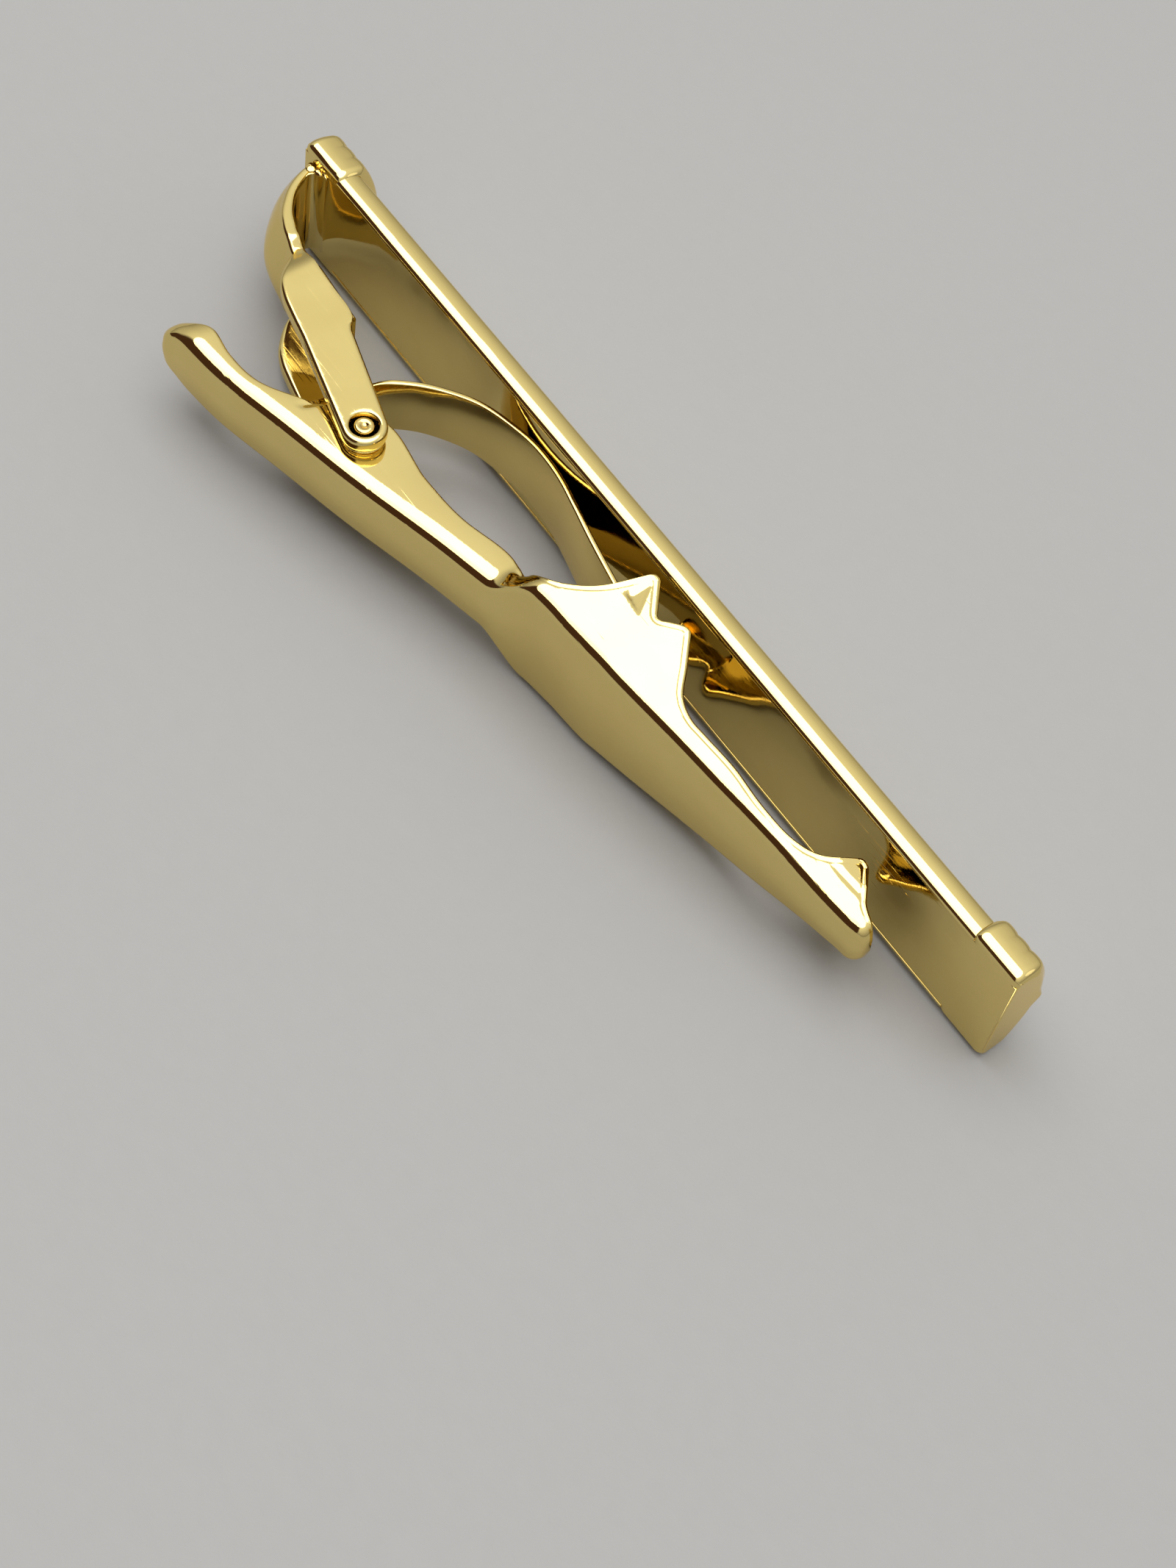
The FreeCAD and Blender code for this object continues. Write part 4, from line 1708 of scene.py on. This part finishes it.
class Grower(Wiring):
    """One geometry node tree with named inputs, which makes a piece of a curve.

    Attributes:
        source: Socket with the curve.
        values: Input values by the socket's identifier.
    """

    def __init__(self, name: str) -> None:
        """Starts a tree with a geometry input and output.

        Args:
            name: Tree name.
        """
        super().__init__(bpy.data.node_groups.new(name, "GeometryNodeTree"))
        for way in ("INPUT", "OUTPUT"):
            self.tree.interface.new_socket("Geometry", in_out=way, socket_type="NodeSocketGeometry")
        self.source = self.tree.nodes.new("NodeGroupInput").outputs["Geometry"]
        self.values: dict[str, float] = {}

    def value(self, name: str, amount: float) -> bpy.types.NodeSocket:
        """Adds a named number input.

        Args:
            name: Input name.
            amount: Its value.

        Returns:
            The input's socket.
        """
        item = self.tree.interface.new_socket(name, in_out="INPUT", socket_type="NodeSocketFloat")
        self.values[item.identifier] = amount
        return self.source.node.outputs[name]

    def sweep(
        self, path: bpy.types.NodeSocket, profile: bpy.types.NodeSocket, capped: bool
    ) -> bpy.types.NodeSocket:
        """Draws a profile along a path that keeps its up side up.

        Args:
            path: Curve to follow.
            profile: Curve that is drawn along it.
            capped: Closes the ends.

        Returns:
            The mesh.
        """
        upright = self.node("GeometryNodeSetCurveNormal", {"Curve": path}, mode="Z_UP")
        inputs = {"Curve": upright, "Profile Curve": profile, "Fill Caps": capped}
        return self.node("GeometryNodeCurveToMesh", inputs)

    def grow(
        self, holder: bpy.types.Object, shape: bpy.types.NodeSocket, finish: GoldFinish
    ) -> bpy.types.Object:
        """Ends the tree with real geometry and the finish, and runs it on a curve.

        Args:
            holder: Object with the curve, which the piece takes the place of.
            shape: Socket with the shape.
            finish: Finish of the piece.

        Returns:
            The piece, a plain mesh of the holder's name.
        """
        real = self.node("GeometryNodeRealizeInstances", {"Geometry": shape})
        smooth = self.node("GeometryNodeSetShadeSmooth", {"Geometry": real})
        coat = self.node("GeometryNodeSetMaterial", {"Geometry": smooth, "Material": finish.material()})
        self.feed(self.tree.nodes.new("NodeGroupOutput"), {"Geometry": coat})
        step = holder.modifiers.new(self.tree.name, "NODES")
        step.node_group = self.tree
        for identifier, amount in self.values.items():
            step[identifier] = amount
        name, mesh = holder.name, plain_mesh(holder)
        bpy.data.objects.remove(holder)
        close_mesh(mesh, GROWN_WELD)
        piece = put_in_scene(name, mesh)
        LOG.info("grew %s with %d faces", name, len(mesh.polygons))
        return piece


@dataclass
class Pivot:
    """The peened pin with its dimpled ends and the two thin washers on it.

    Attributes:
        pin: Radius of the shank.
        head: Radius of each peened end.
        head_depth: Depth of each peened end.
        head_edge: Bevel under an end: how far it goes in, and the heights of its two edges.
        neck: Length of shank drawn under each end.
        top: Height of each end from mid-width.
        crown: Half width and height of the round on each end.
        dimple: Radius of the dimples.
        dimple_steps: Shares of that radius, and depths, down a dimple.
        washer: Radius of the washers.
        washer_hole: Radius of their holes.
        washer_gap: Heights between which a washer lies.
        washer_bevel: Bevel of their edges.
        steps: Steps round a turned piece.
    """

    pin: float = 0.42
    head: float = 0.5
    head_depth: float = 0.22
    head_edge: Place = (0.03, 0.02, 0.06)
    neck: float = 0.1
    top: float = 2.96
    crown: Plan = (0.16, 0.13)
    dimple: float = 0.22
    dimple_steps: tuple[Plan, ...] = ((1.0, 0.01), (0.8, 0.05), (0.45, 0.095), (0.0, 0.11))
    washer: float = 1.05
    washer_hole: float = 0.45
    washer_gap: Plan = (2.05, 2.15)
    washer_bevel: float = 0.03
    steps: float = 64.0

    def build(self) -> None:
        """Builds the pin and the washers and puts them in place of their nodes."""
        seat(self._turned("pivot_pin", self._pin_line(), False, BRASS), "bar", "pivot_rivet")
        low, high = self.washer_gap
        r, hole, bevel = self.washer, self.washer_hole, self.washer_bevel
        rim = [(r - bevel, low), (r, low + bevel), (r, high - bevel), (r - bevel, high)]
        line = [(hole, low), *rim, (hole, high)]
        sides = (("washer_upper", "upper_washer", 1.0), ("washer_lower", "lower_washer", -1.0))
        for name, node, side in sides:
            ring = self._turned(name, [(radius, side * height) for radius, height in line], True, SPRING)
            seat(ring, "bar", node)

    def _pin_line(self) -> list[Plan]:
        """Draws the pin's half section from end to end.

        Returns:
            Radius and height of each point.
        """
        top, head, (wide, tall) = self.top, self.head, self.crown
        base, (inward, first, second) = top - self.head_depth, self.head_edge
        upper = [(self.pin, base - self.neck), (self.pin, base)]
        upper += [(head - inward, base + first), (head, base + second)]
        for a in np.radians(np.linspace(20, 90, 6)):
            upper.append((head - wide + wide * math.cos(a), top - tall + tall * math.sin(a)))
        upper += [(self.dimple * share, top - depth) for share, depth in self.dimple_steps]
        return [(radius, -height) for radius, height in upper[::-1]] + upper

    def _turned(self, name: str, line: Sequence[Plan], closed: bool, finish: GoldFinish) -> bpy.types.Object:
        """Turns a half section about the pivot with a geometry node tree.

        Args:
            name: Piece name.
            line: Radius and height of the section's points.
            closed: Joins the section's last point to its first.
            finish: Finish.

        Returns:
            The piece.
        """
        section = poly_curve(name, [(radius * MM, height * MM, 0.0) for radius, height in line], closed)
        tree = Grower("turned_" + name)
        steps = tree.value("Steps round", self.steps)
        centre = DATUM.metres([(*PIVOT, 0.0)])[0]
        spots = {axis: tree.value("Centre " + axis, float(amount)) for axis, amount in zip("XYZ", centre)}
        ring = tree.node("GeometryNodeCurvePrimitiveCircle", {"Resolution": steps, "Radius": 1e-6}, "Curve")
        turned = tree.sweep(ring, tree.source, False)
        shift = tree.node("ShaderNodeCombineXYZ", spots)
        placed = tree.node("GeometryNodeSetPosition", {"Geometry": turned, "Offset": shift})
        return tree.grow(section, placed, finish)


@dataclass
class LeafSpring:
    """The bowed strip from the thumb end, over the bar, to the jaw's stakes.

    Attributes:
        tail_line: Strip's line from the thumb end to its crown by the bar.
        jaw_line: Strip's line from the crown to the jaw.
        step: Spacing of points along it.
        thickness: Thickness of the strip.
        edge_share: Radius of its edges as a share of the thickness.
        tail_half: Half width at the tail.
        waist_half: Half width at the waist.
        half: Half width from the crown on.
        widths_at: Plan x of the tail, the waist and the full width.
    """

    tail_line: tuple[Plan, ...] = (
        (12.338, -9.52), (12.395, -8.03), (12.713, -6.32), (13.259, -4.54), (14.315, -2.97), (15.383, -1.99),
        (17.02, -0.98), (19.28, -0.38), (20.853, -0.2))
    jaw_line: tuple[Plan, ...] = (
        (22.6, -0.293), (24.41, -0.663), (26.33, -1.117), (29.2, -1.696), (33.64, -2.513))
    step: float = 0.12
    thickness: float = 0.3
    edge_share: float = 0.3
    tail_half: float = 1.3
    waist_half: float = 1.8
    half: float = 2.1
    widths_at: tuple[float, float, float] = (12.57, 13.6, 20.85)

    def build(self) -> None:
        """Builds both halves of the strip, split at its crown by the bar, in place of the leaf spring."""
        whole = smooth_line(self.tail_line + self.jaw_line)
        crown = self.tail_line[-1]
        split = int(np.argmin(np.abs(whole[:, 0] - crown[0])))
        halves = (("leaf_tail_half", whole[:split + 1], self.tail_line[0]),
                  ("leaf_jaw_half", whole[split:], self.jaw_line[-1]))
        for name, run, end in halves:
            piece = self._strip(name, even_steps(run, self.step))
            one, two = DATUM.metres([(*crown, 0.0), (*end, 0.0)])
            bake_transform(piece)
        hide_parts("leaf_spring")

    def _strip(self, name: str, run: np.ndarray) -> bpy.types.Object:
        """Sweeps the strip's section along a line with a geometry node tree.

        Args:
            name: Piece name.
            run: Line in plan.

        Returns:
            The piece.
        """
        path = poly_curve(name, DATUM.metres(np.column_stack([run, np.zeros(len(run))])))
        tree = Grower("strip_" + name)
        thick = tree.value("Thickness", self.thickness * MM)
        wide = tree.value("Width", 2 * self.half * MM)
        soft = tree.value("Edge radius", self.edge_share * self.thickness * MM)
        middle = tree.value("Middle", DATUM.corner[2])
        box = tree.node("GeometryNodeCurvePrimitiveQuadrilateral", {"Width": thick, "Height": wide})
        rounded = {"Curve": box, "Radius": soft, "Count": 4}
        section = tree.node("GeometryNodeFilletCurve", rounded, mode="POLY")
        swept = tree.sweep(tree.source, section, True)

        # The strip narrows towards its tail.
        spot = tree.split(tree.node("GeometryNodeInputPosition", {}))
        labels = ("Tail ends", "Waist", "Full width")
        tail, waist, full = (tree.value(label, DATUM.along(x)) for label, x in zip(labels, self.widths_at))
        narrow, slim = self.tail_half / self.half, self.waist_half / self.half
        share = tree.sum(
            "ADD", tree.fit_range(spot["X"], (tail, waist), (narrow, slim), "SMOOTHSTEP"),
            tree.fit_range(spot["X"], (waist, full), (0.0, 1 - slim), "SMOOTHSTEP"))
        height = tree.sum("MULTIPLY", tree.sum("SUBTRACT", spot["Z"], middle), share)
        place = {"X": spot["X"], "Y": spot["Y"], "Z": tree.sum("ADD", height, middle)}
        moved = {"Geometry": swept, "Position": tree.node("ShaderNodeCombineXYZ", place)}
        return tree.grow(path, tree.node("GeometryNodeSetPosition", moved), SPRING)


# The studio


@dataclass(frozen=True)
class SoftBox:
    """One soft studio lamp.

    Attributes:
        name: Lamp name.
        place: Position in metres.
        aim: Point it looks at, in metres.
        size: Width and height in metres.
        watts: Power.
        tint: Linear colour.
    """

    name: str
    place: Place
    aim: Place
    size: Plan
    watts: float
    tint: Colour = (1.0, 1.0, 1.0)

    def hang(self) -> None:
        """Hangs the lamp in the scene."""
        lamp = bpy.data.lights.new(self.name, "AREA")
        lamp.shape, lamp.size, lamp.size_y = "ELLIPSE", *self.size
        lamp.energy, lamp.color = self.watts, self.tint
        holder = put_in_scene(self.name, lamp)
        holder.location = self.place
        holder.rotation_mode = "QUATERNION"
        holder.rotation_quaternion = (Vector(self.aim) - Vector(self.place)).to_track_quat("-Z", "Y")
        LOG.info("hung %s", self.name)


@dataclass
class Studio:
    """Camera, floor, lamps and surroundings.

    Attributes:
        lens: Focal length for a picture 36 mm high.
        picture_height: That height.
        camera_place: Camera's place in metres.
        clip: Nearest and farthest distance it sees, in metres.
        right: Camera's direction to the right.
        down: Camera's direction down.
        forward: Camera's viewing direction.
        floor_colour: Linear colour of the floor.
        floor_reach: Half size of the floor in metres.
        floor_gap: Gap between floor and clip in metres.
        floor_grain: Scale and detail of the floor's grain.
        floor_rough: Least and greatest roughness of the floor.
        floor_relief: Strength of the grain's relief and its depth in metres.
        sky: Heights and greys of the surroundings.
        flag: Direction of the dark flag.
        flag_edge: Cosines between which the flag's edge fades.
        flag_colour: Linear colour of the flag.
        lamps: Soft lamps.
    """

    lens: float = 64.594
    picture_height: float = 36.0
    camera_place: Place = (0.05368121, -0.05218907, 0.11344764)
    clip: Plan = (0.001, 10.0)
    right: Place = (0.584365, 0.803641, 0.112597)
    down: Place = (0.73022, -0.46023, -0.504942)
    forward: Place = (-0.353972, 0.377291, -0.855778)
    floor_colour: Colour = (0.31, 0.306, 0.298)
    floor_reach: float = 1.5
    floor_gap: float = 0.00002
    floor_grain: Plan = (900.0, 5.0)
    floor_rough: Plan = (0.75, 0.95)
    floor_relief: Plan = (0.12, 0.0004)
    sky: tuple[tuple[float, Colour], ...] = (
        (0.0, (0.30, 0.295, 0.29)), (0.45, (0.66, 0.655, 0.65)), (0.8, (1.0, 1.0, 1.0)))
    flag: Place = (-0.36, -0.85, 0.38)
    flag_edge: Plan = (0.60, 0.74)
    flag_colour: Colour = (0.065, 0.032, 0.024)
    lamps: tuple[SoftBox, ...] = (
        SoftBox("overhead", (-0.05, -0.02, 0.40), (-0.05, -0.02, 0.0), (0.60, 0.44), 2.0),
        SoftBox("side_fill", (0.30, 0.28, 0.20), (0.0, 0.0, 0.0), (0.2, 0.2), 0.06, (1.0, 0.97, 0.93)),
    )

    def build(self) -> None:
        """Sets the camera, the floor, the lamps and the surroundings."""
        self._camera()
        self._floor()
        for lamp in self.lamps:
            lamp.hang()
        self._world()
        bpy.context.scene.view_settings.view_transform = "Standard"

    def _camera(self) -> None:
        """Places the camera where the picture was taken from."""
        data = bpy.data.cameras.new("camera")
        data.sensor_fit, data.sensor_height, data.lens = "VERTICAL", self.picture_height, self.lens
        data.clip_start, data.clip_end = self.clip
        data.dof.use_dof = False
        camera = put_in_scene("camera", data)
        columns = [Vector(self.right), -Vector(self.down), -Vector(self.forward)]
        turn = Matrix(columns).transposed().to_4x4()
        camera.matrix_world = Matrix.Translation(Vector(self.camera_place)) @ turn
        bpy.context.scene.camera = camera

    def _floor(self) -> None:
        """Lays a plain pale floor under the clip."""
        mesh = bpy.data.meshes.new("floor")
        reach, level = self.floor_reach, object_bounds()[0].z - self.floor_gap
        corners = [(x * reach, y * reach, level) for x, y in ((-1, -1), (1, -1), (1, 1), (-1, 1))]
        mesh.from_pydata(corners, [], [[0, 1, 2, 3]])
        floor = put_in_scene("floor", mesh)
        material = bpy.data.materials.new("floor")
        material.use_nodes = True
        net = Wiring(material.node_tree)
        grain = net.noise(net.node("ShaderNodeTexCoord", {}, "Object"), *self.floor_grain)
        net.feed(net.tree.nodes["Principled BSDF"], {
            "Base Color": opaque(self.floor_colour),
            "Roughness": net.fit_range(grain, (0.0, 1.0), self.floor_rough),
            "Normal": net.bump(grain, *self.floor_relief),
        })
        mesh.materials.append(material)
        floor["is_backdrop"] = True

    def _world(self) -> None:
        """Sets plain soft surroundings with one dark flag on the lever's side."""
        world = bpy.data.worlds.new("studio")
        bpy.context.scene.world = world
        world.use_nodes = True
        net = Wiring(world.node_tree)
        way = net.node("ShaderNodeTexCoord", {}, "Generated")
        sky = net.node("ShaderNodeValToRGB", {"Fac": net.split(way)["Z"]}, "Color")
        stops = sky.node.color_ramp.elements
        stops[-1].position = self.sky[-1][0]
        for height, _ in self.sky[1:-1]:
            stops.new(height)
        for stop, (_, grey) in zip(stops, self.sky):
            stop.color = opaque(grey)
        aim = {0: way, 1: Vector(self.flag).normalized()}
        towards = net.node("ShaderNodeVectorMath", aim, "Value", operation="DOT_PRODUCT")
        shade = net.fit_range(towards, self.flag_edge, way="SMOOTHSTEP")
        net.feed(net.tree.nodes["Background"], {"Color": net.mix(shade, sky, opaque(self.flag_colour))})


def build_clip() -> None:
    """Builds every part of the clip and its studio."""
    logging.basicConfig(level=logging.INFO, format="%(name)s: %(message)s")
    for part in (Bar(), Bracket(), Lever(), Pivot(), LeafSpring(), Studio()):
        LOG.info("building %s", type(part).__name__)
        part.build()


if __name__ == "__main__":
    build_clip()
